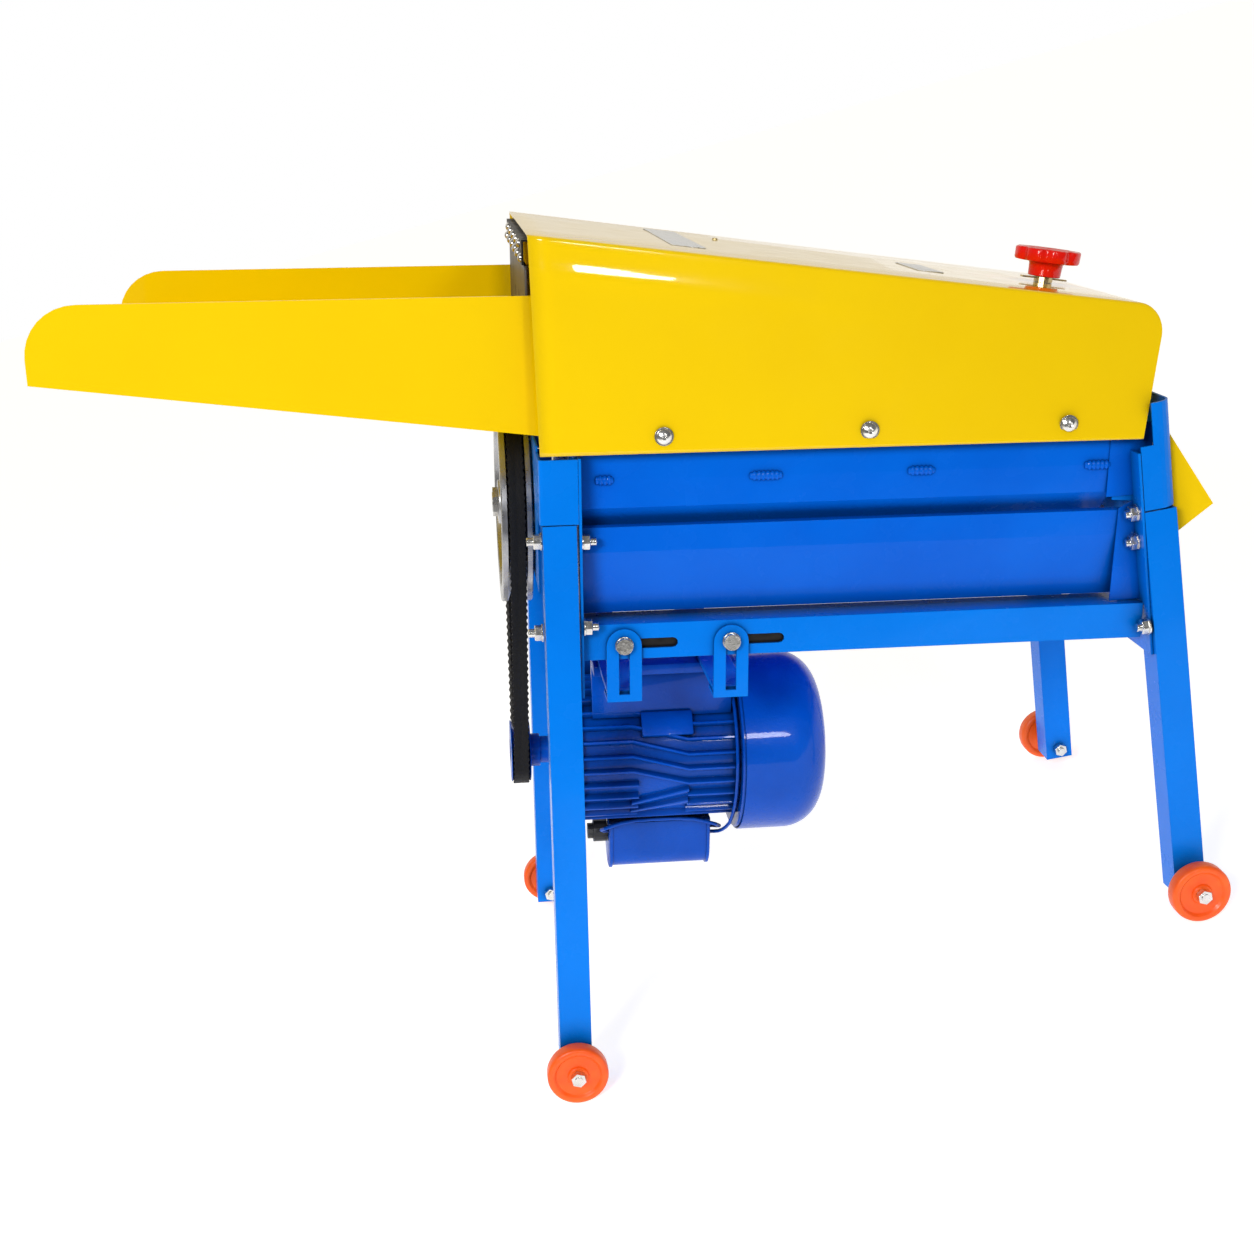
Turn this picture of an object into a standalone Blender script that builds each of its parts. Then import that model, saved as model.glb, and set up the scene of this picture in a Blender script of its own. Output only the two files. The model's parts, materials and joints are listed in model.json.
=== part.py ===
"""Electric maize sheller on four small wheels, as an assembly of its separate pieces.

The machine stands on the floor at Z = 0, centred on the origin, with the feed tray toward -X and the
cob chute toward +X.  Its body slopes down toward the chute, so most pieces are laid out in a body
frame: A runs along the rails toward the chute, Y across, H square to the rails.  The chute end leans
with its legs and has a frame of its own: P out of the end face, Y across, Q up along it.
"""
import math

import bmesh
import bpy
from mathutils import Matrix, Vector

# ---------------------------------------------------------------- driving dimensions, metres
SHEET = 0.0015              # yellow and blue folded sheet
PLATE = 0.0025              # end plates
GAP = 0.0003                # between pieces that touch

BODY_TILT = math.radians(14.2)
BODY_HEIGHT = 0.486         # body origin above the floor
RAIL_LENGTH_END = 0.672     # body A where the chute end frame starts
END_LEAN = math.radians(8.65)    # chute end frame and legs, from square to the rails

WHEEL_R = 0.030
WHEEL_WIDTH = 0.0162
AXLE_R = 0.004

LEG_SIZE = 0.031
LEG_WALL = 0.002
LEG_SPLAY = math.radians(2.6)   # each leg sideways, feet apart
FEED_LEG_LEAN = math.radians(0.44)
LEG_TOP_H = 0.0985
LEG_TOE = 0.012             # tube end below the axle

BODY_HALF = 0.1814          # half width over the end housings
RAIL_HALF = BODY_HALF - 0.0100      # half width over the rails
WHEEL_TRACK = 2 * BODY_HALF + 0.0930    # over the outer faces of a pair of wheels
RAIL_HEIGHT = 0.0342
RAIL_FLANGE = 0.040
RAIL_WALL = 0.003
SLOT_H = -0.0195
SLOT_HALF = 0.0048
SLOT_LENGTH = 0.060

FEED_PLATE_A = 0.1265
FEED_LEG_A = FEED_PLATE_A - LEG_SIZE / 2 - 0.0024    # feed leg centre at its top
DRUM_H = 0.0810
SHAFT_R = 0.010
DRUM_R = 0.036
DRUM_TIP_R = 0.056
DRUM_START = 0.150
DRUM_END = RAIL_LENGTH_END - 0.0470
SIEVE_R = 0.064
SIEVE_LIP_H = 0.0895

DRIVE_PULLEY_R = 0.1005
DRIVE_PULLEY_A = FEED_PLATE_A - LEG_SIZE - 0.0213     # middle plane of the belt
PULLEY_WIDTH = 0.030
MOTOR_PULLEY_R = 0.0325
MOTOR_PULLEY_WIDTH = 0.0205
BELT_TOP = 0.0166
BELT_ROOT = 0.0100
BELT_HEIGHT = 0.0100
BELT_PROUD = 0.0020         # belt back above the pulley rims

MOTOR_H = -0.188
MOTOR_R = 0.0700
MOTOR_RIB = 0.0070
MOTOR_START = 0.1345
MOTOR_LENGTH = 0.162
MOTOR_SHAFT_R = 0.0120
SHIELD = 0.0064
COWL_R = MOTOR_R + 0.0244
COWL_LENGTH = 0.0895

STRAP_WIDTH = 0.033
STRAP_THICK = 0.003
STRAP_BOTTOM = -0.0755
STRAP_CENTRES = (0.1670, 0.2680)
STRAP_SLOT_HALF = 0.0050
BOLT_R = 0.004

PAN_HALF = BODY_HALF - 0.0214
PAN_FOOT_HALF = PAN_HALF - 0.0120
PAN_LIP_H = 0.0915
PAN_BEND_H = 0.066
PAN_FLOOR_H = 0.0052
PAN_END = RAIL_LENGTH_END - 0.0255
PANEL_END = RAIL_LENGTH_END - 0.0410

HOOD_HALF = BODY_HALF + 0.0031
HOOD_BOTTOM = 0.1625
HOOD_LEFT = 0.0922
HOOD_LEFT_TOP = 0.0864
HOOD_TOP_H = 0.3545         # at HOOD_LEFT_TOP
HOOD_FALL = 0.128           # drop of the top per metre of A
HOOD_RIGHT = RAIL_LENGTH_END - 0.0227
HOOD_END_SLOPE = 0.2635     # A per H on the end wall
HOOD_CORNER_R = 0.022
HOOD_BEND_R = 0.0035
HOOD_TOP_HALF = (HOOD_HALF - 0.0085, HOOD_HALF - 0.0425)    # half width of the top at the feed end and the chute end

TRAY_HALF = BODY_HALF - 0.0244
TRAY_LEFT = -0.3472
TRAY_RIGHT = 0.118
TRAY_FLOOR_H = 0.2324       # floor at its outer end
TRAY_FALL = 0.1276
TRAY_TOP_H = 0.3009
TRAY_CORNER_R = 0.0470
TRAY_SKEW = 0.026           # the left wall ends this much short of the right one

CHUTE_WINDOW = BODY_HALF - LEG_SIZE - 0.0104

KNOB_A = RAIL_LENGTH_END - 0.0610
KNOB_R = 0.033
KNOB_HUB_R = 0.0168
STUD_R = 0.005
GATE_H = 0.215

# ---------------------------------------------------------------- scene and finishes
for old in list(bpy.data.objects):
    bpy.data.objects.remove(old, do_unlink=True)


def finish(name, colour, roughness, metallic=0.0):
    material = bpy.data.materials.new(name)
    material.use_nodes = True
    shader = material.node_tree.nodes["Principled BSDF"]
    shader.inputs["Base Color"].default_value = (*colour, 1.0)
    shader.inputs["Roughness"].default_value = roughness
    shader.inputs["Metallic"].default_value = metallic
    return material


FRAME_BLUE = finish("frame_blue", (0.0, 0.22, 0.86), 0.3)
PANEL_BLUE = finish("panel_blue", (0.0, 0.13, 0.70), 0.3)
MOTOR_BLUE = finish("motor_blue", (0.0, 0.04, 0.42), 0.35)
YELLOW = finish("yellow_enamel", (0.98, 0.65, 0.0), 0.2)
STEEL = finish("bare_steel", (0.55, 0.55, 0.55), 0.35, 1.0)
CHROME = finish("chrome", (0.75, 0.75, 0.75), 0.15, 1.0)
CAST_IRON = finish("cast_iron", (0.10, 0.10, 0.11), 0.6, 0.8)
RUBBER = finish("black_rubber", (0.02, 0.02, 0.02), 0.7)
ORANGE = finish("orange_plastic", (1.0, 0.09, 0.0), 0.4)
RED = finish("red_plastic", (0.82, 0.01, 0.0), 0.25)
BRASS = finish("brass", (0.6, 0.42, 0.15), 0.4, 1.0)
COPPER = finish("copper_winding", (0.6, 0.25, 0.1), 0.5, 0.8)
BLACK = finish("black_plastic", (0.02, 0.02, 0.02), 0.5)


# ---------------------------------------------------------------- frames
def frame(name, parent=None, location=(0, 0, 0), rotation=(0, 0, 0)):
    empty = bpy.data.objects.new(name, None)
    bpy.context.collection.objects.link(empty)
    empty.parent = parent
    empty.location = location
    empty.rotation_euler = rotation
    return empty


MACHINE = frame("machine")
BODY = frame("body_frame", MACHINE, (0, 0, BODY_HEIGHT), (0, BODY_TILT, 0))
END = frame("chute_end_frame", BODY, (RAIL_LENGTH_END, 0, 0), (0, -END_LEAN, 0))
DRUM_AXIS = frame("drum_axis", BODY, (0, 0, DRUM_H))


# ---------------------------------------------------------------- solids
def solid(name, mesh_builder, material, parent=BODY):
    """Link a closed bmesh as a named object with one material."""
    bmesh.ops.recalc_face_normals(mesh_builder, faces=mesh_builder.faces)
    mesh = bpy.data.meshes.new(name)
    mesh_builder.to_mesh(mesh)
    mesh_builder.free()
    if material:
        mesh.materials.append(material)
    item = bpy.data.objects.new(name, mesh)
    item.parent = parent
    bpy.context.collection.objects.link(item)
    return item


def tool(target, mesh_builder, operation):
    """Apply a hidden tool body to a piece with a Boolean."""
    helper = solid(f"tool_{target.name}_{len(target.modifiers)}", mesh_builder, None, target.parent)
    helper.location = target.location
    helper.rotation_euler = target.rotation_euler
    helper.hide_render = True
    helper.display_type = "WIRE"
    modifier = target.modifiers.new(operation.lower(), "BOOLEAN")
    modifier.operation = operation
    modifier.object = helper
    modifier.solver = "EXACT"
    return target


def cut(target, mesh_builder):
    return tool(target, mesh_builder, "DIFFERENCE")


def join(target, mesh_builder):
    return tool(target, mesh_builder, "UNION")


def smooth(item, angle=35):
    item.data.shade_smooth()
    item.data.set_sharp_from_angle(angle=math.radians(angle))
    return item


def blocks(*corner_pairs):
    """Boxes between pairs of opposite corners, as one bmesh."""
    bm = bmesh.new()
    for low, high in corner_pairs:
        middle = [(a + b) / 2 for a, b in zip(low, high)]
        size = [abs(b - a) for a, b in zip(low, high)]
        bmesh.ops.create_cube(bm, size=1, matrix=Matrix.Translation(middle) @ Matrix.Diagonal((*size, 1)))
    return bm


def prism(outline, start, end, axis):
    """Extrude a closed outline along one axis; it lists the other two coordinates in XYZ order."""
    bm = bmesh.new()
    place = {"X": lambda t, u, v: (t, u, v), "Y": lambda t, u, v: (u, t, v), "Z": lambda t, u, v: (u, v, t)}
    rings = [[bm.verts.new(place[axis](t, u, v)) for u, v in outline] for t in (start, end)]
    count = len(outline)
    for i in range(count):
        j = (i + 1) % count
        bm.faces.new((rings[0][i], rings[0][j], rings[1][j], rings[1][i]))
    bm.faces.new(rings[0])
    bm.faces.new(rings[1])
    return bm


def arc(centre, radius, start, end, steps):
    """Points on a circle between two angles in degrees."""
    angles = [math.radians(start + (end - start) * i / steps) for i in range(steps + 1)]
    return [(centre[0] + radius * math.cos(t), centre[1] + radius * math.sin(t)) for t in angles]


def band(points, thickness):
    """Outline of a bent sheet: the points, then the same bends set in to their left by its thickness."""
    inner = []
    for i, point in enumerate(points):
        before = Vector(points[max(i - 1, 0)])
        after = Vector(points[min(i + 1, len(points) - 1)])
        here = Vector(point)
        first = (here - before).normalized() if i else (after - here).normalized()
        second = (after - here).normalized() if i < len(points) - 1 else first
        left = (Vector((-first.y, first.x)) + Vector((-second.y, second.x))).normalized()
        reach = thickness / max(0.4, left.dot(Vector((-first.y, first.x))))
        inner.append(tuple(here + left * reach))
    return list(points) + inner[::-1]


def turned(profile, sides, centre=(0, 0, 0), axis="X"):
    """Spin a closed outline of (along, radius) points about an axis."""
    bm = bmesh.new()
    rings = []
    for k in range(sides):
        t = 2 * math.pi * k / sides
        spots = [(along, radius * math.cos(t), radius * math.sin(t)) for along, radius in profile]
        if axis == "Y":
            spots = [(y, x, z) for x, y, z in spots]
        if axis == "Z":
            spots = [(y, z, x) for x, y, z in spots]
        rings.append([bm.verts.new(Vector(centre) + Vector(s)) for s in spots])
    count = len(profile)
    for k in range(sides):
        a, b = rings[k], rings[(k + 1) % sides]
        for i in range(count):
            j = (i + 1) % count
            if profile[i][1] > 1e-7 or profile[j][1] > 1e-7:
                bm.faces.new((a[i], a[j], b[j], b[i]))
    bmesh.ops.remove_doubles(bm, verts=bm.verts, dist=1e-7)
    return bm


def rod(start, end, radius, sides=16, centre=(0, 0), axis="X"):
    """A round or many-sided bar along one axis, with its centre in the other two coordinates."""
    turn = 180 / sides
    outline = [(centre[0] + x, centre[1] + y) for x, y in arc((0, 0), radius, turn, 360 + turn, sides)[:-1]]
    return prism(outline, start, end, axis)


def merge(*builders):
    """Several bmeshes as one, for use as a tool."""
    total = bmesh.new()
    for bm in builders:
        scrap = bpy.data.meshes.new("scrap")
        bm.to_mesh(scrap)
        bm.free()
        total.from_mesh(scrap)
        bpy.data.meshes.remove(scrap)
    return total


def stacked(name, sections, axis, centre, material, parent=BODY):
    """A fastener or a bar built up from coaxial sections: (start, end, radius, sides)."""
    first, *rest = sections
    item = solid(name, rod(first[0], first[1], first[2], first[3], centre, axis), material, parent)
    for start, end, radius, sides in rest:
        join(item, rod(start, end, radius, sides, centre, axis))
    return item


SIDES = (("right", -1), ("left", 1))


# ---------------------------------------------------------------- legs and wheels
def body_point(a, y, h):
    """World place of a body frame point, before the machine is centred."""
    c, s = math.cos(BODY_TILT), math.sin(BODY_TILT)
    return Vector((a * c + h * s, y, BODY_HEIGHT - a * s + h * c))


def leg(end_name, side_name, sign, top, lean):
    """One square tube leg with its axle bolt and wheel; it runs from its top down to the axle height."""
    angle = BODY_TILT - lean
    down = Vector((-math.sin(angle), sign * math.tan(LEG_SPLAY), -math.cos(angle))).normalized()
    reach = (top.z - WHEEL_R) / -down.z
    hub = top + down * reach
    up = -down
    across = Vector((0, 1, 0))
    along = across.cross(up).normalized()
    turn = Matrix((along, up.cross(along), up)).transposed().to_4x4()
    axle = frame(f"{end_name}_{side_name}_leg_frame", MACHINE)
    axle.matrix_local = Matrix.Translation(hub) @ turn
    half, hollow = LEG_SIZE / 2, LEG_SIZE / 2 - LEG_WALL
    name = f"{end_name}_leg_{side_name}"
    length = reach - half * math.tan(LEG_SPLAY) - 2 * GAP
    tube = solid(name, blocks(((-half, -half, -LEG_TOE), (half, half, length))), FRAME_BLUE, axle)
    cut(tube, blocks(((-hollow, -hollow, -LEG_TOE - 0.01), (hollow, hollow, reach + 0.01))))
    hole = rod(-LEG_SIZE, LEG_SIZE, AXLE_R + 2 * GAP, 12, (0, 0), "Y")
    bmesh.ops.transform(hole, matrix=turn.transposed(), verts=hole.verts)
    cut(tube, hole)

    hub_frame = frame(f"{end_name}_{side_name}_hub", MACHINE, (hub.x, 0, WHEEL_R))
    outer = WHEEL_TRACK / 2
    inner = outer - WHEEL_WIDTH
    bore, boss, dish = AXLE_R + GAP + 0.0002, 0.0100, 0.0022
    rim = WHEEL_R - 0.0055
    profile = [(inner, bore), (inner, boss), (inner + dish, boss + 0.001), (inner + dish, rim - 0.001),
               (inner, rim), (inner, WHEEL_R - 0.0022), (inner + 0.0022, WHEEL_R),
               (outer - 0.0022, WHEEL_R), (outer, WHEEL_R - 0.0022), (outer, rim),
               (outer - dish, rim - 0.001), (outer - dish, boss + 0.001), (outer, boss), (outer, bore)]
    profile = [(sign * along, radius) for along, radius in profile]
    smooth(solid(f"{end_name}_wheel_{side_name}", turned(profile, 24, axis="Y"), ORANGE, hub_frame))

    leg_out = abs(hub.y) + half / math.cos(LEG_SPLAY)
    leg_in = abs(hub.y) - half / math.cos(LEG_SPLAY)
    nut, washer = 0.0075, 0.0085
    sections = [(leg_in - 0.0120, outer + 0.0075, AXLE_R, 12),
                (outer + GAP, outer + 0.0065, nut, 6),
                (leg_out + 0.0012, inner - GAP, washer, 16),
                (leg_in - 0.0082, leg_in - 0.0012, nut, 6)]
    sections = [(sign * a, sign * b, r, n) for a, b, r, n in sections]
    stacked(f"{end_name}_axle_bolt_{side_name}", sections, "Y", (0, 0), CHROME, hub_frame)
    return hub


def legs():
    """Two feed legs a little off square to the body, and two chute legs along the end frame."""
    half = LEG_SIZE / 2
    for side_name, sign in SIDES:
        y = sign * (BODY_HALF - half)
        leg("feed", side_name, sign, body_point(FEED_LEG_A, y, LEG_TOP_H), FEED_LEG_LEAN)
        end_top = 0.0930
        a = RAIL_LENGTH_END + half * math.cos(END_LEAN) - end_top * math.sin(END_LEAN)
        h = half * math.sin(END_LEAN) + end_top * math.cos(END_LEAN)
        leg("chute", side_name, sign, body_point(a, y, h), END_LEAN)


# ---------------------------------------------------------------- chassis
def rails():
    """Angle bars between the end plates, each with two slots for the motor straps."""
    start = FEED_PLATE_A + PLATE + GAP
    top_end = RAIL_LENGTH_END - PLATE - 2 * GAP
    for side_name, sign in SIDES:
        out, inside = sign * RAIL_HALF, sign * (RAIL_HALF - RAIL_WALL)
        flange = sign * (RAIL_HALF - RAIL_FLANGE)
        section = [(out, 0), (out, -RAIL_HEIGHT), (inside, -RAIL_HEIGHT), (inside, -RAIL_WALL),
                   (flange, -RAIL_WALL), (flange, 0)]
        rail = solid(f"rail_{side_name}", prism(section, start, top_end, "X"), FRAME_BLUE)
        for centre in STRAP_CENTRES:
            left, right = centre - 0.009, centre - 0.009 + SLOT_LENGTH
            ends = arc((right - SLOT_HALF, SLOT_H), SLOT_HALF, -90, 90, 5)
            ends += arc((left + SLOT_HALF, SLOT_H), SLOT_HALF, 90, 270, 5)
            cut(rail, prism(ends, out - sign * 0.010, out + sign * 0.005, "Y"))


def folded_end(width, depth, face, bend, sheet):
    """Channel section of an end housing in plan: two side flanges round one face."""
    corner = face - bend
    near = [(depth, -width)] + [(x, y) for x, y in arc((corner, -width + bend), bend, -90, 0, 5)]
    points = near + [(x, -y) for x, y in reversed(near)]
    return band(points, sheet)


def feed_end():
    """Folded housing over the feed legs, and the flat bulkhead bolted to their inner faces."""
    face, sheet = FEED_PLATE_A - LEG_SIZE - 0.0049, 0.0020
    outline = folded_end(BODY_HALF, -(FEED_PLATE_A - GAP), -face, 0.004, sheet)
    outline = [(-x, y) for x, y in outline]
    housing = solid("feed_end_housing", prism(outline, LEG_TOP_H + GAP, 0.1585, "Z"), FRAME_BLUE)
    apron = BODY_HALF - LEG_SIZE - 0.006
    join(housing, blocks(((face + 0.0001, -apron, 0.025), (face + sheet - 0.0001, apron, 0.1645))))
    cut(housing, rod(face - 0.01, face + 0.01, SHAFT_R + 0.006, 16, (0, DRUM_H)))

    plate = solid("feed_bulkhead", blocks(((FEED_PLATE_A, -BODY_HALF, -0.0680),
                                           (FEED_PLATE_A + PLATE, BODY_HALF, 0.1590))), FRAME_BLUE)
    cut(plate, rod(FEED_PLATE_A - 0.01, FEED_PLATE_A + 0.01, SHAFT_R + 0.006, 16, (0, DRUM_H)))
    notch = BODY_HALF - 0.0714
    cut(plate, blocks(((FEED_PLATE_A - 0.01, -notch, 0.1500), (FEED_PLATE_A + 0.01, notch, 0.17))))


def chute_end():
    """The chute end in its leaning frame: bulkhead, folded housing and the yellow cob chute."""
    bulkhead = solid("chute_bulkhead", blocks(((-PLATE - GAP, -BODY_HALF, -0.0500),
                                               (-GAP, BODY_HALF, 0.1500))), FRAME_BLUE, END)
    shaft_q = DRUM_H / math.cos(END_LEAN)
    side, notch = BODY_HALF - 0.0464, BODY_HALF - 0.0714
    window = [(-side, 0.108), (side, 0.108), (side, 0.160), (-side, 0.160)]
    cut(bulkhead, prism(window, -0.02, 0.02, "X"))
    cut(bulkhead, rod(-0.02, 0.02, SHAFT_R + 0.004, 16, (0, shaft_q)))
    cut(bulkhead, blocks(((-0.02, -notch, 0.006), (0.02, notch, 0.042))))
    ear = [(-0.0233, 0.1050), (-0.0020, 0.1000), (-0.0020, 0.1495), (-0.0165, 0.1570)]
    for _, sign in SIDES:
        low = sign * (PAN_HALF + 0.0001)
        join(bulkhead, prism(ear, low, low + sign * SHEET, "Y"))

    face, sheet, leg_top = LEG_SIZE + 0.0025, 0.0020, 0.0930
    outline = folded_end(BODY_HALF, GAP, face, 0.015, sheet)
    housing = solid("chute_end_housing", prism(outline, leg_top + 0.0008, 0.1950, "Z"), FRAME_BLUE, END)
    apron = BODY_HALF - LEG_SIZE - 0.006
    inner = face - sheet + 0.0001
    join(housing, blocks(((inner, -apron, 0.0600), (face - 0.0001, apron, leg_top + 0.003))))
    past = BODY_HALF + 0.0186
    cut(housing, blocks(((-0.01, -past, 0.1555), (0.0125, past, 0.21))))
    cut(housing, blocks(((0.02, -CHUTE_WINDOW, 0.0720), (0.04, CHUTE_WINDOW, 0.1520))))

    half = BODY_HALF - 0.0154
    back = face + GAP
    nose = face + 0.0400
    shell = [(back, 0.0617), (nose, 0.0845), (back, 0.1620)]
    chute = solid("cob_chute", prism(shell, -half, half, "Y"), YELLOW, END)
    hollow = [(back - 0.01, 0.0400), (nose, 0.0700), (nose - 0.0004, 0.0838), (back, 0.1590),
              (back - 0.01, 0.1600)]
    cut(chute, prism(hollow, -half + SHEET, half - SHEET, "Y"))


# ---------------------------------------------------------------- threshing body
def side_panels():
    """Folded side sheets between the bulkheads, under the hood and over the pan."""
    start = FEED_PLATE_A + PLATE + GAP
    for side_name, sign in SIDES:
        wide = PAN_HALF + 0.0020
        bends = [(wide, 0.1720), (wide, 0.1347), (PAN_HALF, 0.1082), (PAN_HALF - 0.0280, 0.0805)]
        outline = band([(sign * y, h) for y, h in bends], sign * -SHEET)
        solid(f"side_panel_{side_name}", prism(outline, start, PANEL_END, "X"), PANEL_BLUE)


def grain_pan():
    """Trough under the sieve; the grain runs down it and drops through the opening at its low end."""
    half = [(PAN_HALF - 0.005, PAN_LIP_H), (PAN_HALF, PAN_LIP_H - 0.0015), (PAN_HALF - 0.001, PAN_BEND_H),
            (PAN_FOOT_HALF, PAN_FLOOR_H)]
    points = [(-y, h) for y, h in half] + half[::-1]
    outline = band(points, SHEET)
    pan = solid("grain_pan", prism(outline, FEED_PLATE_A + PLATE + GAP, PAN_END, "X"), PANEL_BLUE)
    cut(pan, blocks(((PAN_END - 0.0865, -0.100, -0.02), (PAN_END - 0.0215, 0.100, 0.02))))


def sieve():
    """Half round perforated concave under the drum, with a flat lip along each side."""
    inner = arc((0, DRUM_H), SIEVE_R, 175, 365, 22)
    lip = PAN_HALF - 0.0320
    points = [(-lip, inner[0][1])] + inner + [(lip, inner[-1][1])]
    points = [(y, h) for y, h in points]
    outline = band(points, -0.0020)
    start, end = FEED_PLATE_A + 0.0075, RAIL_LENGTH_END - 0.0320
    screen = solid("sieve", prism(outline, start, end, "X"), STEEL)
    slots = []
    rows, columns = 4, 7
    for row in range(rows):
        angle = math.radians(-150 + 120 * row / (rows - 1))
        y, z = math.cos(angle), math.sin(angle)
        for column in range(columns):
            a = start + 0.030 + (end - start - 0.060) * column / (columns - 1)
            slot = blocks(((-0.013, -0.0055, -0.008), (0.013, 0.0055, 0.008)))
            turn = Matrix.Rotation(angle + math.pi / 2, 4, "X")
            place = Matrix.Translation((a, SIEVE_R * y, DRUM_H + SIEVE_R * z)) @ turn
            bmesh.ops.transform(slot, matrix=place, verts=slot.verts)
            slots.append(slot)
    cut(screen, merge(*slots))


def bearings():
    """Flanged ball bearings that carry the drum shaft at both ends."""
    flange, boss, thick, deep = 0.034, 0.022, 0.007, 0.016
    for name, parent, spot, back, lean in (
            ("drum_bearing_feed", BODY, (FEED_PLATE_A, 0, DRUM_H), GAP, 0),
            ("drum_bearing_chute", END, (0, 0, DRUM_H / math.cos(END_LEAN)), PLATE + 2 * GAP, END_LEAN)):
        x, _, z = spot
        unit = solid(name, blocks(((x - back - thick, -flange, z - flange), (x - back, flange, z + flange))),
                     CAST_IRON, parent)
        place = Matrix.Translation(spot) @ Matrix.Rotation(lean, 4, "Y")
        tube = rod(-back - deep, -back - thick / 2, boss, 20)
        hole = rod(-0.05, 0.05, SHAFT_R + GAP, 20)
        for shape in (tube, hole):
            bmesh.ops.transform(shape, matrix=place, verts=shape.verts)
        join(unit, tube)
        cut(unit, hole)


def drum():
    """Spiked shelling drum pressed on its shaft, with the belt pulley and its nut at the feed end."""
    shaft_start, shaft_end = DRIVE_PULLEY_A - 0.0207, RAIL_LENGTH_END - 0.0080
    smooth(solid("drum_shaft", rod(shaft_start, shaft_end, SHAFT_R, 20), STEEL, DRUM_AXIS))
    bore = SHAFT_R + GAP
    wall, hub, web = 0.0050, 0.0150, 0.0080
    middle = (DRUM_START + DRUM_END) / 2
    core = [(DRUM_START, DRUM_R - wall), (DRUM_START, DRUM_R), (DRUM_END, DRUM_R), (DRUM_END, DRUM_R - wall),
            (middle + web, DRUM_R - wall), (middle + web, hub), (DRUM_END, hub), (DRUM_END, bore),
            (DRUM_START, bore), (DRUM_START, hub), (middle - web, hub), (middle - web, DRUM_R - wall)]
    cylinder = solid("shelling_drum", turned(core, 20), STEEL, DRUM_AXIS)
    pegs = []
    rows, columns = 4, 10
    for row in range(rows):
        for column in range(columns):
            a = DRUM_START + 0.022 + (column + row / rows) * (DRUM_END - DRUM_START - 0.060) / columns
            peg = blocks(((a, -0.005, DRUM_R - 0.004), (a + 0.012, 0.005, DRUM_TIP_R)))
            bmesh.ops.transform(peg, matrix=Matrix.Rotation(math.tau * row / rows, 4, "X"), verts=peg.verts)
            pegs.append(peg)
    join(cylinder, merge(*pegs))


def groove(middle, rim, width):
    """Rim outline of a V pulley: (along, radius) points from one face to the other over the groove."""
    deep = rim - BELT_HEIGHT + BELT_PROUD - 0.0018
    top, root = BELT_TOP / 2 + 0.0006, BELT_ROOT / 2 + 0.0004
    return [(middle - width / 2, rim), (middle - top, rim), (middle - root, deep), (middle + root, deep),
            (middle + top, rim), (middle + width / 2, rim)]


def pulleys(motor_axis):
    """Large cast pulley on the drum shaft, small painted one on the motor shaft."""
    middle, half = DRIVE_PULLEY_A, PULLEY_WIDTH / 2
    web, hub, bore = 0.004, 0.022, SHAFT_R + GAP
    inner_rim = DRIVE_PULLEY_R - 0.0160
    rim = groove(middle, DRIVE_PULLEY_R, PULLEY_WIDTH)
    profile = [(middle - half, bore), (middle - half, hub), (middle - web, hub + 0.002),
               (middle - web, inner_rim), (middle - half, inner_rim + 0.002)] + rim
    profile += [(middle + half, inner_rim + 0.002), (middle + web, inner_rim), (middle + web, hub + 0.002),
                (middle + half, hub), (middle + half, bore)]
    smooth(solid("drum_pulley", turned(profile, 44), CAST_IRON, DRUM_AXIS), 25)

    nut = solid("pulley_nut", rod(middle - 0.0202, middle - half - GAP, 0.0150, 6), STEEL, DRUM_AXIS)
    cut(nut, rod(middle - 0.04, middle, SHAFT_R + GAP, 20))

    half = MOTOR_PULLEY_WIDTH / 2
    bore = MOTOR_SHAFT_R + GAP
    rim = groove(middle, MOTOR_PULLEY_R, MOTOR_PULLEY_WIDTH)
    profile = [(middle - half, bore)] + rim
    step, back = middle + 0.0203, middle + 0.0303
    profile += [(middle + half, 0.0172), (step, 0.0172), (step, 0.0140), (back, 0.0140), (back, bore)]
    smooth(solid("motor_pulley", turned(profile, 32), MOTOR_BLUE, motor_axis), 25)


def drive_belt():
    """V belt as a closed loop round both pulleys: two wraps joined by straight strands."""
    big, small = DRIVE_PULLEY_R + BELT_PROUD, MOTOR_PULLEY_R + BELT_PROUD
    spread = math.degrees(math.asin((big - small) / (DRUM_H - MOTOR_H)))

    def loop(drop):
        upper = arc((0, DRUM_H), big - drop, -spread, 180 + spread, 32)
        lower = arc((0, MOTOR_H), small - drop, 180 + spread, 360 - spread, 14)
        return upper + lower

    half_top, half_root = BELT_TOP / 2, BELT_ROOT / 2
    bm = bmesh.new()
    layers = [(-half_top, 0), (half_top, 0), (half_root, BELT_HEIGHT), (-half_root, BELT_HEIGHT)]
    rings = [[bm.verts.new((DRIVE_PULLEY_A + along, y, h)) for y, h in loop(drop)] for along, drop in layers]
    count = len(rings[0])
    for i in range(4):
        a, b = rings[i], rings[(i + 1) % 4]
        for k in range(count):
            n = (k + 1) % count
            bm.faces.new((a[k], a[n], b[n], b[k]))
    solid("drive_belt", bm, RUBBER)


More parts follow.
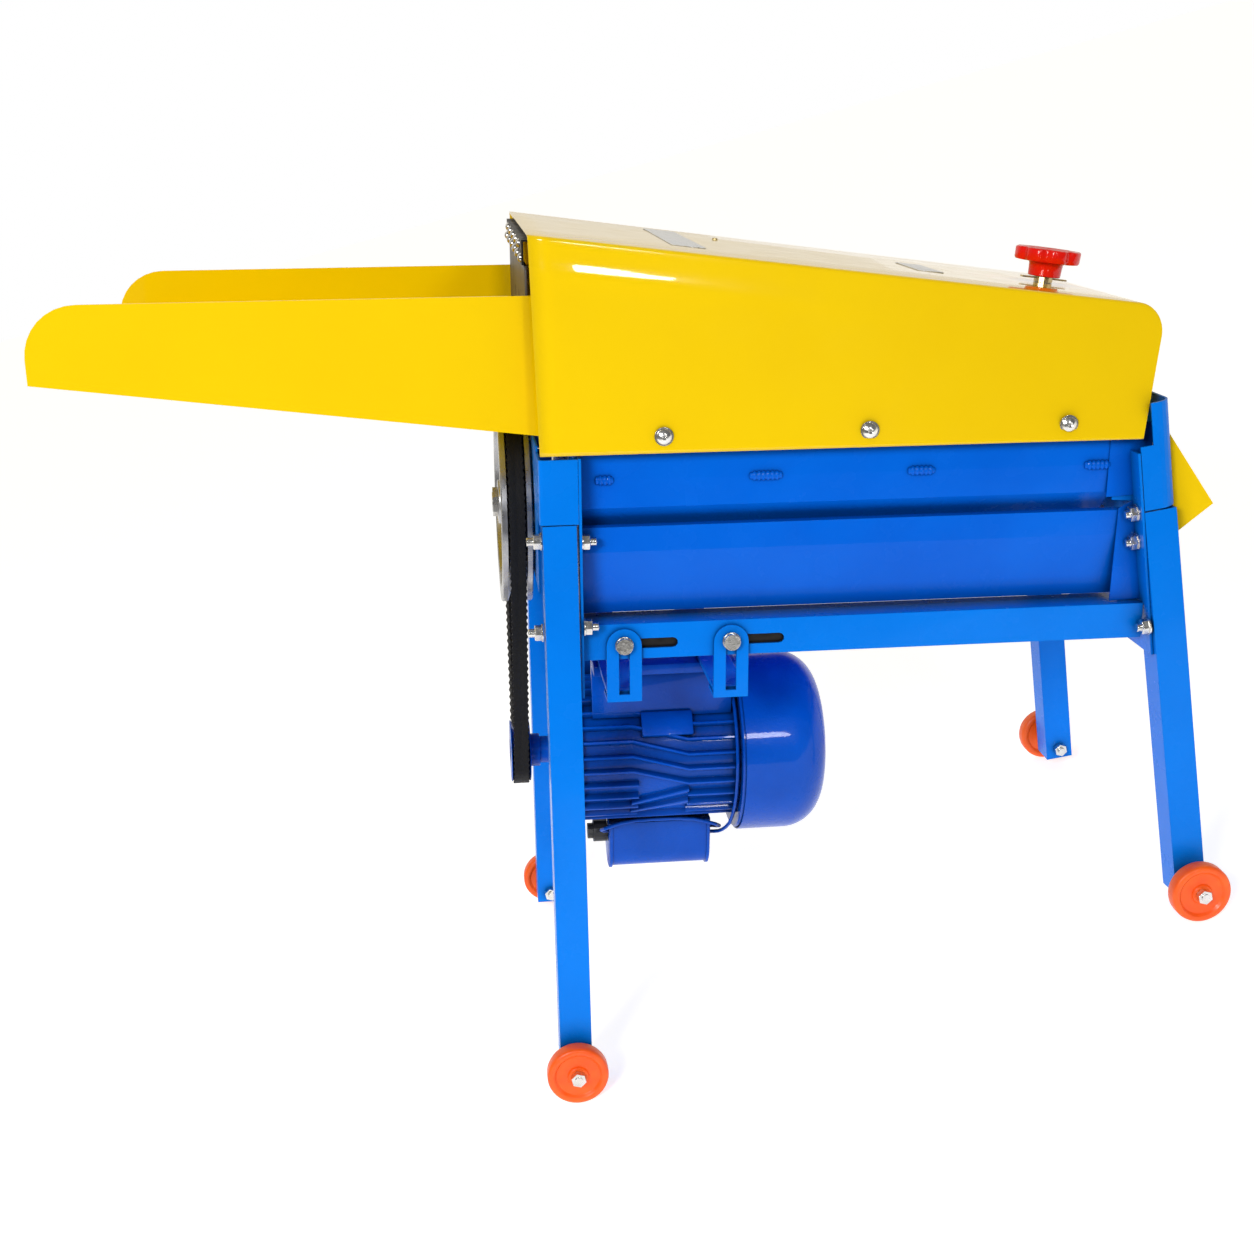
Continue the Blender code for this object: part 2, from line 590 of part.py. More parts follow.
# ---------------------------------------------------------------- motor and its hangers
def motor(axis):
    """Ribbed single phase motor hung under the rails: stator, rotor, shields, fan, cowl, boxes."""
    start, end = MOTOR_START, MOTOR_START + MOTOR_LENGTH
    ribs = 30
    outline = []
    for k in range(ribs):
        t = 360 * (k + 0.5) / ribs
        for turn, radius in ((-3.6, MOTOR_R), (-1.6, MOTOR_R + MOTOR_RIB), (1.6, MOTOR_R + MOTOR_RIB),
                             (3.6, MOTOR_R)):
            angle = math.radians(t + turn)
            outline.append((radius * math.cos(angle), radius * math.sin(angle)))
    housing = solid("motor_housing", prism(outline, start, end, "X"), MOTOR_BLUE, axis)
    stator_r = MOTOR_R - 0.0140
    bore = stator_r / math.cos(math.pi / 32) + GAP
    cut(housing, rod(start - 0.01, end + 0.01, bore, 32))
    foot_top = STRAP_BOTTOM + STRAP_THICK - MOTOR_H
    feet = [((start + 0.012, sign * 0.040, MOTOR_R * 0.72), (end - 0.006, sign * 0.052, foot_top - 0.002))
            for sign in (-1, 1)]
    pads = [((start + 0.012, sign * 0.038, foot_top - 0.011), (end - 0.006, sign * 0.078, foot_top))
            for sign in (-1, 1)]
    join(housing, blocks(*feet))
    join(housing, blocks(*pads))

    smooth(solid("motor_stator", turned([(start + 0.020, MOTOR_R / 2), (start + 0.020, stator_r),
                                         (end - 0.020, stator_r), (end - 0.020, MOTOR_R / 2)], 32),
                 COPPER, axis))
    shaft_end = end + SHIELD + 0.045
    rotor = solid("motor_rotor", rod(DRIVE_PULLEY_A - 0.0087, shaft_end, MOTOR_SHAFT_R, 20), STEEL, axis)
    smooth(join(rotor, rod(start + 0.022, end - 0.022, MOTOR_R / 2 - 0.0010, 28)))

    bore = MOTOR_SHAFT_R + GAP
    front = [(start - SHIELD - GAP, bore), (start - SHIELD - GAP, 0.030), (start - 0.004, MOTOR_R - 0.0040),
             (start - 0.004, MOTOR_R + MOTOR_RIB + 0.002), (start - GAP, MOTOR_R + MOTOR_RIB + 0.002),
             (start - GAP, bore)]
    smooth(solid("motor_front_shield", turned(front, 32), MOTOR_BLUE, axis))
    rim = COWL_R - SHEET - 0.0006
    rear = [(end + GAP, bore), (end + GAP, rim), (end + SHIELD, rim), (end + SHIELD, bore)]
    smooth(solid("motor_rear_shield", turned(rear, 32), MOTOR_BLUE, axis))

    hub_a = end + SHIELD + 0.012
    fan = solid("cooling_fan", turned([(hub_a, bore), (hub_a, 0.024), (hub_a + 0.026, 0.022),
                                       (hub_a + 0.026, bore)], 24), BLACK, axis)
    blades = []
    for k in range(6):
        blade = blocks(((hub_a + 0.001, -0.0012, 0.020), (hub_a + 0.024, 0.0012, COWL_R - 0.0164)))
        bmesh.ops.transform(blade, matrix=Matrix.Rotation(math.tau * k / 6, 4, "X"), verts=blade.verts)
        blades.append(blade)
    join(fan, merge(*blades))

    left, right, bend = end + 0.0030, end + 0.0030 + COWL_LENGTH, 0.040
    outer = [(left, COWL_R)] + arc((right - bend, COWL_R - bend), bend, 90, 0, 4) + [(right, 0)]
    inner = [(right - SHEET, 0)] + arc((right - bend, COWL_R - bend), bend - SHEET, 0, 90, 4)
    inner += [(left, COWL_R - SHEET)]
    cowl = smooth(solid("fan_cowl", turned(outer + inner, 32), MOTOR_BLUE, axis))
    slots = []
    ring_r, count = 0.036, 10
    for k in range(count):
        slot = blocks(((right - 0.01, -0.004, ring_r - 0.012), (right + 0.01, 0.004, ring_r + 0.012)))
        bmesh.ops.transform(slot, matrix=Matrix.Rotation(math.tau * k / count, 4, "X"), verts=slot.verts)
        slots.append(slot)
    cut(cowl, merge(*slots))


def motor_boxes(axis):
    """Capacitor housing under the motor and the black cable gland beside it."""
    under = -MOTOR_R - MOTOR_RIB - 0.0016
    width, depth = 0.046, 0.0600
    outline = [(-width / 2 - 0.004, under)] + arc((0, under - depth + width / 2), width / 2, 180, 360, 10)
    outline += [(width / 2 + 0.004, under)]
    solid("capacitor_box", prism(outline, 0.165, 0.274, "X"), MOTOR_BLUE, axis)
    smooth(stacked("cable_gland", [(0.150, 0.1645, 0.0120, 16), (0.144, 0.151, 0.0085, 16)], "X",
                   (0.0, under - 0.018), BLACK, axis))


def lead(name, stations, axis):
    """One round lead held along its whole route: rings square to a path of (a, y, h) points."""
    path = [Vector(spot) for spot in stations]
    radius, sides = 0.0020, 8
    bm = bmesh.new()
    rings = []
    upright = Vector((0, 0.3, 1))
    for i, spot in enumerate(path):
        ahead = (path[min(i + 1, len(path) - 1)] - path[max(i - 1, 0)]).normalized()
        upright = (upright - ahead * upright.dot(ahead)).normalized()
        across = ahead.cross(upright)
        rings.append([bm.verts.new(spot + radius * (math.cos(t) * across + math.sin(t) * upright))
                      for t in (math.tau * k / sides for k in range(sides))])
    for a, b in zip(rings, rings[1:]):
        for k in range(sides):
            bm.faces.new((a[k], a[(k + 1) % sides], b[(k + 1) % sides], b[k]))
    bm.faces.new(rings[0])
    bm.faces.new(rings[-1])
    smooth(solid(name, bm, MOTOR_BLUE, axis))


def motor_leads(axis):
    """Two painted leads from the capacitor box: one over its near side, one up beside the rear shield."""
    ring = MOTOR_R + MOTOR_RIB
    lead("capacitor_lead_1", [(a, y * ring / 0.0770, h - ring) for a, y, h in (
        (0.1647, -0.0170, -0.0130), (0.1600, -0.0170, -0.0130), (0.1572, -0.0190, -0.0110),
        (0.1570, -0.0245, -0.0085), (0.1600, -0.0300, -0.0050), (0.1680, -0.0330, -0.0008),
        (0.1780, -0.0340, 0.0027), (0.1920, -0.0347, 0.0048), (0.2080, -0.0353, 0.0054),
        (0.2240, -0.0353, 0.0053), (0.2400, -0.0347, 0.0046), (0.2550, -0.0332, 0.0025),
        (0.2680, -0.0332, -0.0012), (0.2785, -0.0300, -0.0060), (0.2840, -0.0215, -0.0120),
        (0.2830, -0.0130, -0.0160), (0.2790, -0.0080, -0.0175), (0.2743, -0.0080, -0.0175))], axis)
    last = MOTOR_START + MOTOR_LENGTH - 0.0035
    start = [(0.2743, -0.0140, -0.0215 - ring), (0.2790, -0.0145, -0.0215 - ring),
             (0.2835, -0.0175, -0.0200 - ring), (0.2865, -0.0235, -0.0160 - ring),
             (0.2890, -0.0330, -0.0090 - ring), (0.2910, -0.0440, 0.0005 - ring)]
    rise = [(last, -(ring + 0.0034 + 0.0025 * (k == 0)) * math.sin(t), -(ring + 0.0034) * math.cos(t))
            for k, t in enumerate(math.radians(42 + 13 * k) for k in range(9))]
    side, up = math.sin(math.radians(150)), -math.cos(math.radians(150))
    finish_spots = [(last + 0.0012, -(ring + 0.0034) * side, (ring + 0.0034) * up),
                    (last + 0.0035, -(ring + 0.0030) * side, (ring + 0.0030) * up)]
    lead("capacitor_lead_2", start + rise + finish_spots, axis)


def hangers(mount):
    """Slotted straps bolted outside the rails, and the two cross bars that carry the motor feet."""
    outer = RAIL_HALF + GAP + STRAP_THICK
    half = STRAP_WIDTH / 2
    foot = 0.030
    for number, centre in enumerate(STRAP_CENTRES, 1):
        for side_name, sign in SIDES:
            lo, hi = sign * (RAIL_HALF + GAP), sign * outer
            shape = [(centre - half, STRAP_BOTTOM), (centre + half, STRAP_BOTTOM)]
            shape += arc((centre, SLOT_H - 0.001), half, 0, 180, 12)
            strap = solid(f"motor_strap_{number}_{side_name}", prism(shape, lo, hi, "Y"), FRAME_BLUE, mount)
            join(strap, blocks(((centre - half, sign * (outer - foot), STRAP_BOTTOM),
                                (centre + half, hi, STRAP_BOTTOM + STRAP_THICK))))
            top, low = SLOT_H + 0.0002, STRAP_BOTTOM + STRAP_THICK + 0.004
            slot = arc((centre, top), STRAP_SLOT_HALF, 0, 180, 6)
            slot += [(centre - STRAP_SLOT_HALF, low), (centre + STRAP_SLOT_HALF, low)]
            cut(strap, prism(slot, lo - sign * 0.002, hi + sign * 0.002, "Y"))

            head = 0.0085
            sections = [(RAIL_HALF - 0.0150, outer + 0.0050, BOLT_R, 12),
                        (outer + 0.0014, outer + 0.0062, 0.0078, 20),
                        (outer + GAP, outer + 0.0016, head, 20),
                        (RAIL_HALF - RAIL_WALL - 0.0085, RAIL_HALF - RAIL_WALL - 0.0020, 0.0075, 6),
                        (RAIL_HALF - RAIL_WALL - 0.0022, RAIL_HALF - RAIL_WALL - GAP, head, 20)]
            sections = [(sign * a, sign * b, r, n) for a, b, r, n in sections]
            stacked(f"strap_bolt_{number}_{side_name}", sections, "Y", (centre, SLOT_H), CHROME)
        low = STRAP_BOTTOM + STRAP_THICK + GAP
        reach = RAIL_HALF - 0.0040
        solid(f"motor_crossbar_{number}", blocks(((centre - half + 0.001, -reach, low),
                                                  (centre + half - 0.001, reach, low + 0.005))),
              FRAME_BLUE, mount)


# ---------------------------------------------------------------- hood, tray, curtain, gate and knob
def hood_top(a):
    return HOOD_TOP_H - HOOD_FALL * (a - HOOD_LEFT_TOP)


def hood_form(inset, past_left, past_bottom):
    """Closed form of the hood, lofted in cross sections from the feed opening to the end wall."""
    end_a = HOOD_RIGHT - inset
    corner_r = HOOD_CORNER_R - inset
    top_slope, end_slope = math.atan(HOOD_FALL), math.atan(HOOD_END_SLOPE)
    meet_h = (HOOD_TOP_H - inset - HOOD_FALL * (end_a - HOOD_END_SLOPE * HOOD_BOTTOM - HOOD_LEFT_TOP))
    meet_h /= 1 + HOOD_FALL * HOOD_END_SLOPE
    meet_a = end_a + HOOD_END_SLOPE * (meet_h - HOOD_BOTTOM)
    turn = math.pi / 2 - top_slope + end_slope
    back = corner_r * math.tan(turn / 2)
    first = Vector((meet_a - back * math.cos(top_slope), meet_h + back * math.sin(top_slope)))
    centre = first - corner_r * Vector((math.sin(top_slope), math.cos(top_slope)))
    curve = arc(centre, corner_r, 90 - math.degrees(top_slope),
                90 - math.degrees(top_slope) - math.degrees(turn), 6)
    bottom = HOOD_BOTTOM - past_bottom
    left_low = HOOD_LEFT - past_left
    left_top = HOOD_LEFT_TOP - past_left
    flat = 7
    tops = [(left_top + (first.x - left_top) * i / flat, 0) for i in range(flat)]
    tops = [(a, hood_top(a) - inset) for a, _ in tops] + curve
    last = end_a - HOOD_END_SLOPE * past_bottom
    run = [0]
    for before, after in zip(tops, tops[1:]):
        run.append(run[-1] + math.dist(before, after))
    lows = [(left_low + (last - left_low) * r / run[-1], bottom) for r in run]

    bm = bmesh.new()
    rings = []
    bend = HOOD_BEND_R - inset
    for (low_a, low_h), (top_a, top_h) in zip(lows, tops):
        share = min(1, max(0, (top_a - HOOD_LEFT_TOP) / (HOOD_RIGHT - HOOD_LEFT_TOP)))
        wide = HOOD_HALF - inset
        narrow = HOOD_TOP_HALF[0] + (HOOD_TOP_HALF[1] - HOOD_TOP_HALF[0]) * share - inset
        full = hood_top(top_a) - inset - HOOD_BOTTOM
        narrow = wide + (narrow - wide) * (top_h - HOOD_BOTTOM) / full
        wide = wide + (wide - narrow) * past_bottom / (top_h - HOOD_BOTTOM)
        tall = top_h - low_h
        lean = math.atan2(wide - narrow, tall)
        back = bend * math.tan((math.pi / 2 - lean) / 2)
        side = [(wide + (narrow - wide) * t, t) for t in (0, 0.45)]
        shoulder = Vector((narrow - back, top_h - bend))
        rounding = [(shoulder.x + bend * math.cos(t), (shoulder.y + bend * math.sin(t) - low_h) / tall)
                    for t in [lean + (math.pi / 2 - lean) * i / 4 for i in range(5)]]
        half = side + rounding
        section = [(-y, t) for y, t in half] + [(y, t) for y, t in reversed(half)]
        rings.append([bm.verts.new((low_a + (top_a - low_a) * t, y, low_h + tall * t)) for y, t in section])
    count = len(rings[0])
    for a, b in zip(rings, rings[1:]):
        for i in range(count):
            j = (i + 1) % count
            bm.faces.new((a[i], a[j], b[j], b[i]))
    bm.faces.new(rings[0])
    bm.faces.new(rings[-1])
    bmesh.ops.triangulate(bm, faces=bm.faces)
    return bm


def hood():
    """Yellow folded hood over the drum, open at the feed end and below."""
    cover = solid("hood", hood_form(0, 0, 0), YELLOW)
    cut(cover, hood_form(SHEET, 0.02, 0.02))
    stud = rod(hood_top(KNOB_A) - 0.03, hood_top(KNOB_A) + 0.03, STUD_R + 0.0025, 16, (0, 0), "Z")
    turn = Matrix.Rotation(math.atan(HOOD_FALL), 4, "Y")
    base = Vector((KNOB_A, 0, hood_top(KNOB_A)))
    bmesh.ops.transform(stud, matrix=Matrix.Translation(base) @ turn @ Matrix.Translation((0, 0, -base.z)),
                        verts=stud.verts)
    cut(cover, stud)


def feed_tray():
    """Yellow feed tray: a floor that falls toward the drum between two side walls."""
    def floor_h(a):
        return TRAY_FLOOR_H - TRAY_FALL * (a - TRAY_LEFT)

    corner = arc((TRAY_LEFT + TRAY_CORNER_R, TRAY_TOP_H - TRAY_CORNER_R), TRAY_CORNER_R, 180, 90, 8)
    outline = [(TRAY_LEFT, floor_h(TRAY_LEFT))] + corner + [(TRAY_RIGHT, TRAY_TOP_H)]
    outline += [(TRAY_RIGHT, floor_h(TRAY_RIGHT))]
    form = prism(outline, -TRAY_HALF, TRAY_HALF, "Y")
    for vertex in form.verts:
        if vertex.co.y > 0 and vertex.co.x < TRAY_LEFT + TRAY_CORNER_R + GAP:
            vertex.co.x += TRAY_SKEW
            if vertex.co.z < floor_h(TRAY_LEFT) + GAP:
                vertex.co.z -= TRAY_FALL * TRAY_SKEW
    bmesh.ops.triangulate(form, faces=form.faces)
    tray = solid("feed_tray", form, YELLOW)
    over, kink, level = 0.02, -0.0135, 0.0015
    far_h = floor_h(kink) - level
    hollow = [(TRAY_LEFT - over, floor_h(TRAY_LEFT - over) + SHEET), (TRAY_LEFT - over, TRAY_TOP_H + over),
              (TRAY_RIGHT + over, TRAY_TOP_H + over), (TRAY_RIGHT + over, far_h + SHEET),
              (kink, floor_h(kink) + SHEET)]
    cut(tray, prism(hollow, -TRAY_HALF + SHEET, TRAY_HALF - SHEET, "Y"))
    under = [(kink - over, floor_h(kink) + level * over / (TRAY_RIGHT + over - kink)),
             (TRAY_RIGHT + over, far_h), (TRAY_RIGHT + over, 0.140), (kink, 0.140)]
    cut(tray, prism(under, -TRAY_HALF + SHEET, TRAY_HALF - SHEET, "Y"))


def curtain():
    """Rubber infeed curtain under a perforated clamp strip at the feed opening."""
    strip_a, thick, low, top, half = 0.0822, 0.0018, 0.3265, 0.3485, TRAY_HALF - 0.0070
    strip = solid("curtain_strip", blocks(((strip_a, -half, low), (strip_a + thick, half, top))), CAST_IRON)
    join(strip, blocks(((strip_a + 0.0003, -half, top - thick), (0.104, half, top))))
    hinge = frame("curtain_hinge", BODY, (strip_a + 0.0035, 0, low))
    drop, width = 0.1335, TRAY_HALF - SHEET - 0.004
    solid("infeed_curtain", blocks(((-0.0013, -width, -drop), (0.0013, width, -0.0006))), RUBBER, hinge)


def knob_and_gate():
    """Lobed knob on a threaded stud that moves the cob pressure gate under the hood."""
    lean = math.atan(HOOD_FALL)
    post = frame("knob_axis", BODY, (KNOB_A, 0, hood_top(KNOB_A)), (0, lean, 0))
    lobes, points = 8, []
    for k in range(lobes * 8):
        t = math.tau * k / (lobes * 8)
        r = KNOB_R - 0.0035 * (0.5 - 0.5 * math.cos(lobes * t)) ** 2
        points.append((r * math.cos(t), r * math.sin(t)))
    knob = solid("pressure_knob", prism(points, 0.0200, 0.0335, "Z"), RED, post)
    join(knob, rod(0.0060, 0.0205, KNOB_HUB_R, 32, (0, 0), "Z"))
    cut(knob, rod(0.0315, 0.0400, KNOB_R * 0.68, 32, (0, 0), "Z"))
    cut(knob, rod(0.0000, 0.0185, STUD_R + GAP, 16, (0, 0), "Z"))

    ring = solid("knob_lock_washer", rod(GAP, 0.0055, 0.0092, 12, (0, 0), "Z"), BRASS, post)
    join(ring, blocks(((-0.0230, -0.0040, 0.0035), (0.0230, 0.0040, 0.0050))))
    cut(ring, rod(-0.01, 0.02, STUD_R + GAP, 16, (0, 0), "Z"))

    drop = hood_top(KNOB_A) - GATE_H
    gate = solid("pressure_gate", prism(band([(-0.065, -drop + 0.020), (-0.045, -drop), (0.030, -drop),
                                              (0.034, -drop + 0.020)], 0.0025), 0.0714 - BODY_HALF, BODY_HALF - 0.0714, "Y"),
                 STEEL, post)
    join(gate, rod(-drop + 0.001, 0.0080, STUD_R, 16, (0, 0), "Z"))


# ---------------------------------------------------------------- assembly
def centre_machine():
    """Put the middle of the whole machine's length on the origin."""
    bpy.context.view_layer.update()
    graph = bpy.context.evaluated_depsgraph_get()
    places = []
    for item in bpy.data.objects:
        if item.type == "MESH" and not item.hide_render:
            shape = item.evaluated_get(graph)
            places += [(shape.matrix_world @ vertex.co).x for vertex in shape.data.vertices]
    MACHINE.location.x = -(min(places) + max(places)) / 2


motor_mount = frame("motor_mount", BODY)
motor_axis = frame("motor_axis", motor_mount, (0, 0, MOTOR_H))
legs()
rails()
feed_end()
chute_end()
side_panels()
grain_pan()
sieve()
bearings()
drum()
pulleys(motor_axis)
drive_belt()
motor(motor_axis)
motor_boxes(motor_axis)
motor_leads(motor_axis)
hangers(motor_mount)
hood()
feed_tray()
curtain()
knob_and_gate()
centre_machine()
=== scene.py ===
import json
import math

import bmesh
import bpy
from mathutils import Matrix, Vector


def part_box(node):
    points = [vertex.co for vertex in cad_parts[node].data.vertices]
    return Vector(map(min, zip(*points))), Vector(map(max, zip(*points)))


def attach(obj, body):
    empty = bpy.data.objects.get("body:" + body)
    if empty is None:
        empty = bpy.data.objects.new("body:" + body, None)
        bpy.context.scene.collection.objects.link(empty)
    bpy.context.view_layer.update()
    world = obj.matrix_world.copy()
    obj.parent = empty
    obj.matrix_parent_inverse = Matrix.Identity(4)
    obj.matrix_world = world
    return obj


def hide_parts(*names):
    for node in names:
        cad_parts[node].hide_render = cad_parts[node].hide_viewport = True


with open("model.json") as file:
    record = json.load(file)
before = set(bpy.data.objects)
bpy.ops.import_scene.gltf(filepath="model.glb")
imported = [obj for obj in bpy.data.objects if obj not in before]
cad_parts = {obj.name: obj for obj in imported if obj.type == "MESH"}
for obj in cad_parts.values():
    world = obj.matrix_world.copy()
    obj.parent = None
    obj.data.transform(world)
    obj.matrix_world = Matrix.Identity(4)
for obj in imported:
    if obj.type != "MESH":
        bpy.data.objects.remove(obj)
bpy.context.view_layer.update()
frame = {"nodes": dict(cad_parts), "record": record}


# The camera stands in front of the near side, a little above the machine, looking slightly down and
# tipped over so that the sloping body comes out nearly level. The lens is a normal 48 mm.
def camera_turn(yaw, pitch, roll):
    """Rotation of a camera that looks along +Y, turned right, tipped down, then rolled."""
    ahead = Vector((math.sin(yaw) * math.cos(pitch), math.cos(yaw) * math.cos(pitch), -math.sin(pitch)))
    level = Vector((math.cos(yaw), -math.sin(yaw), 0))
    down = ahead.cross(level)
    right = math.cos(roll) * level + math.sin(roll) * down
    below = -math.sin(roll) * level + math.cos(roll) * down
    return Matrix((right, -below, -ahead)).transposed()


lens = bpy.data.cameras.new("studio_camera")
lens.sensor_width = 36
lens.lens = 47.586
lens.clip_end = 60
camera = bpy.data.objects.new("studio_camera", lens)
camera.matrix_world = Matrix.Translation((-0.10396, -1.63354, 0.92589)) @ \
    camera_turn(0.0284, 0.3198, 0.2684).to_4x4()
bpy.context.collection.objects.link(camera)
scene = bpy.context.scene
scene.camera = camera
scene.view_settings.view_transform = "Standard"


# Studio: a white cyclorama behind, a darker room in front, one broad light over the front, a small
# one for the crisp glints on bends and bolts, and a white floor.
world = bpy.data.worlds.new("studio_surround")
scene.world = world
world.use_nodes = True
paper = world.node_tree.nodes["Background"]
paper.inputs["Color"].default_value = (1, 1, 1, 1)
room = world.node_tree.nodes.new("ShaderNodeBackground")
toward = world.node_tree.nodes.new("ShaderNodeTexCoord")
parts = world.node_tree.nodes.new("ShaderNodeSeparateXYZ")
depth = world.node_tree.nodes.new("ShaderNodeMapRange")
depth.inputs["From Min"].default_value = -0.4
depth.inputs["From Max"].default_value = 0.5
walls = world.node_tree.nodes.new("ShaderNodeMix")
walls.data_type = "RGBA"
walls.inputs["A"].default_value = (0.15, 0.15, 0.15, 1)
walls.inputs["B"].default_value = (0.84, 0.80, 0.72, 1)
seen = world.node_tree.nodes.new("ShaderNodeLightPath")
either = world.node_tree.nodes.new("ShaderNodeMixShader")
for start, end in ((toward.outputs["Generated"], parts.inputs["Vector"]),
                   (parts.outputs["Y"], depth.inputs["Value"]),
                   (depth.outputs["Result"], walls.inputs["Factor"]),
                   (walls.outputs["Result"], room.inputs["Color"]),
                   (seen.outputs["Is Camera Ray"], either.inputs["Fac"]),
                   (room.outputs["Background"], either.inputs[1]),
                   (paper.outputs["Background"], either.inputs[2]),
                   (either.outputs["Shader"], world.node_tree.nodes["World Output"].inputs["Surface"])):
    world.node_tree.links.new(start, end)


def soft_light(name, place, aim, size, power):
    """An area lamp at a place, aimed at a point; size in metres, power in watts."""
    lamp = bpy.data.lights.new(name, "AREA")
    lamp.shape = "RECTANGLE"
    lamp.size, lamp.size_y = size
    lamp.energy = power
    item = bpy.data.objects.new(name, lamp)
    item.location = place
    item.rotation_euler = (Vector(aim) - Vector(place)).to_track_quat("-Z", "Y").to_euler()
    bpy.context.collection.objects.link(item)


soft_light("front_light", (-1.25, -2.55, 1.9), (0, 0, 0.45), (0.9, 0.7), 55)
soft_light("glint_light", (0.78, -2.6, 1.3), (0, 0, 0.5), (0.3, 0.3), 12)

# Floor: a plain matt white sheet that starts in front of the machine and runs far behind it, bright
# enough to meet the white surround without a line.
def surface(name, colour, roughness, metallic=0.0):
    """A new material with its shader's base values set, and its node tree's handles."""
    material = bpy.data.materials.new(name)
    material.use_nodes = True
    shader = material.node_tree.nodes["Principled BSDF"]
    shader.inputs["Base Color"].default_value = (*colour, 1)
    shader.inputs["Roughness"].default_value = roughness
    shader.inputs["Metallic"].default_value = metallic
    return material, material.node_tree, shader


floor_mesh = bpy.data.meshes.new("floor")
floor_mesh.from_pydata([(-9, -1.1, 0), (9, -1.1, 0), (9, 14, 0), (-9, 14, 0)], [], [(0, 1, 2, 3)])
floor = bpy.data.objects.new("floor", floor_mesh)
bpy.context.collection.objects.link(floor)
matt_white, _, shader = surface("matt_white_floor", (0.80, 0.80, 0.80), 0.9)
shader.inputs["Emission Color"].default_value = (1, 1, 1, 1)
shader.inputs["Emission Strength"].default_value = 0.62
floor_mesh.materials.append(matt_white)

# Blue chassis: square tube legs, angle rails, end plates and folded end housings, all welded mild
# steel under one glossy blue coat with a faint orange peel.
def mottle(tree, scale, low, high, detail=4.0, stretch=(1, 1, 1)):
    """A noise between two values, in the object's own metres."""
    place = tree.nodes.new("ShaderNodeTexCoord")
    shape = tree.nodes.new("ShaderNodeMapping")
    shape.inputs["Scale"].default_value = stretch
    noise = tree.nodes.new("ShaderNodeTexNoise")
    noise.inputs["Scale"].default_value = scale
    noise.inputs["Detail"].default_value = detail
    spread = tree.nodes.new("ShaderNodeMapRange")
    spread.inputs["From Min"].default_value = 0.3
    spread.inputs["From Max"].default_value = 0.7
    spread.inputs["To Min"].default_value = low
    spread.inputs["To Max"].default_value = high
    tree.links.new(place.outputs["Object"], shape.inputs["Vector"])
    tree.links.new(shape.outputs["Vector"], noise.inputs["Vector"])
    tree.links.new(noise.outputs["Fac"], spread.inputs["Value"])
    return spread.outputs["Result"]


def relief(tree, shader, height, distance, edge=0.0):
    """Bump from a height, over edges softened by a small radius."""
    bump = tree.nodes.new("ShaderNodeBump")
    bump.inputs["Distance"].default_value = distance
    tree.links.new(height, bump.inputs["Height"])
    if edge:
        softened = tree.nodes.new("ShaderNodeBevel")
        softened.samples = 4
        softened.inputs["Radius"].default_value = edge
        tree.links.new(softened.outputs["Normal"], bump.inputs["Normal"])
    tree.links.new(bump.outputs["Normal"], shader.inputs["Normal"])


def tint(tree, shader, factor, first, second):
    """Base colour between two colours by a factor."""
    mix = tree.nodes.new("ShaderNodeMix")
    mix.data_type = "RGBA"
    mix.inputs["A"].default_value = (*first, 1)
    mix.inputs["B"].default_value = (*second, 1)
    tree.links.new(factor, mix.inputs["Factor"])
    tree.links.new(mix.outputs["Result"], shader.inputs["Base Color"])


def shade(tree, shader, distance):
    """Painted shade: base colour darkened by ambient occlusion where surfaces come close together."""
    crevice = tree.nodes.new("ShaderNodeAmbientOcclusion")
    crevice.samples = 8
    crevice.inputs["Distance"].default_value = distance
    tree.links.new(shader.inputs["Base Color"].links[0].from_socket, crevice.inputs["Color"])
    tree.links.new(crevice.outputs["Color"], shader.inputs["Base Color"])


def enamel(name, deep, light, roughness, peel, coat, edge=0.0):
    """Glossy paint in two close shades, with orange peel of a depth in metres, a clear coat and painted
    shade in its crevices.
    """
    material, tree, shader = surface(name, light, roughness)
    tint(tree, shader, mottle(tree, 9, 0, 1), deep, light)
    # Painted shade: the base colour is darkened wherever other surfaces lie within 25 mm.
    shade(tree, shader, 0.025)
    tree.links.new(mottle(tree, 30, roughness * 0.8, roughness * 1.25), shader.inputs["Roughness"])
    shader.inputs["Specular IOR Level"].default_value = 0.08
    shader.inputs["Coat Weight"].default_value = coat
    shader.inputs["Coat Roughness"].default_value = 0.05
    relief(tree, shader, mottle(tree, 420, 0, 1, 2), peel, edge)
    return material


def dress(material, *names):
    """Give CAD nodes their finish."""
    for name in names:
        for slot in frame["nodes"][name].material_slots:
            slot.material = material


SIDES = (("right", -1), ("left", 1))
chassis_blue = enamel("chassis_blue", (0.0, 0.185, 0.78), (0.0, 0.210, 0.86), 0.25, 0.00004, 0.06, 0.0012)
dress(chassis_blue, "feed_bulkhead", "chute_bulkhead", "feed_end_housing", "chute_end_housing",
      "motor_crossbar_1", "motor_crossbar_2",
      *[f"{piece}_{side}" for side, _ in SIDES
        for piece in ("rail", "feed_leg", "chute_leg", "motor_strap_1", "motor_strap_2")])

# Side sheets and grain pan: folded thin steel sheet fixed between the end plates, in the same blue as a
# shaded copy, a painted shade deeper because the hood keeps them out of the light.
panel_blue = enamel("panel_blue", (0.0, 0.115, 0.68), (0.0, 0.14, 0.76), 0.25, 0.00004, 0.06, 0.0008)
dress(panel_blue, "side_panel_right", "side_panel_left", "grain_pan")

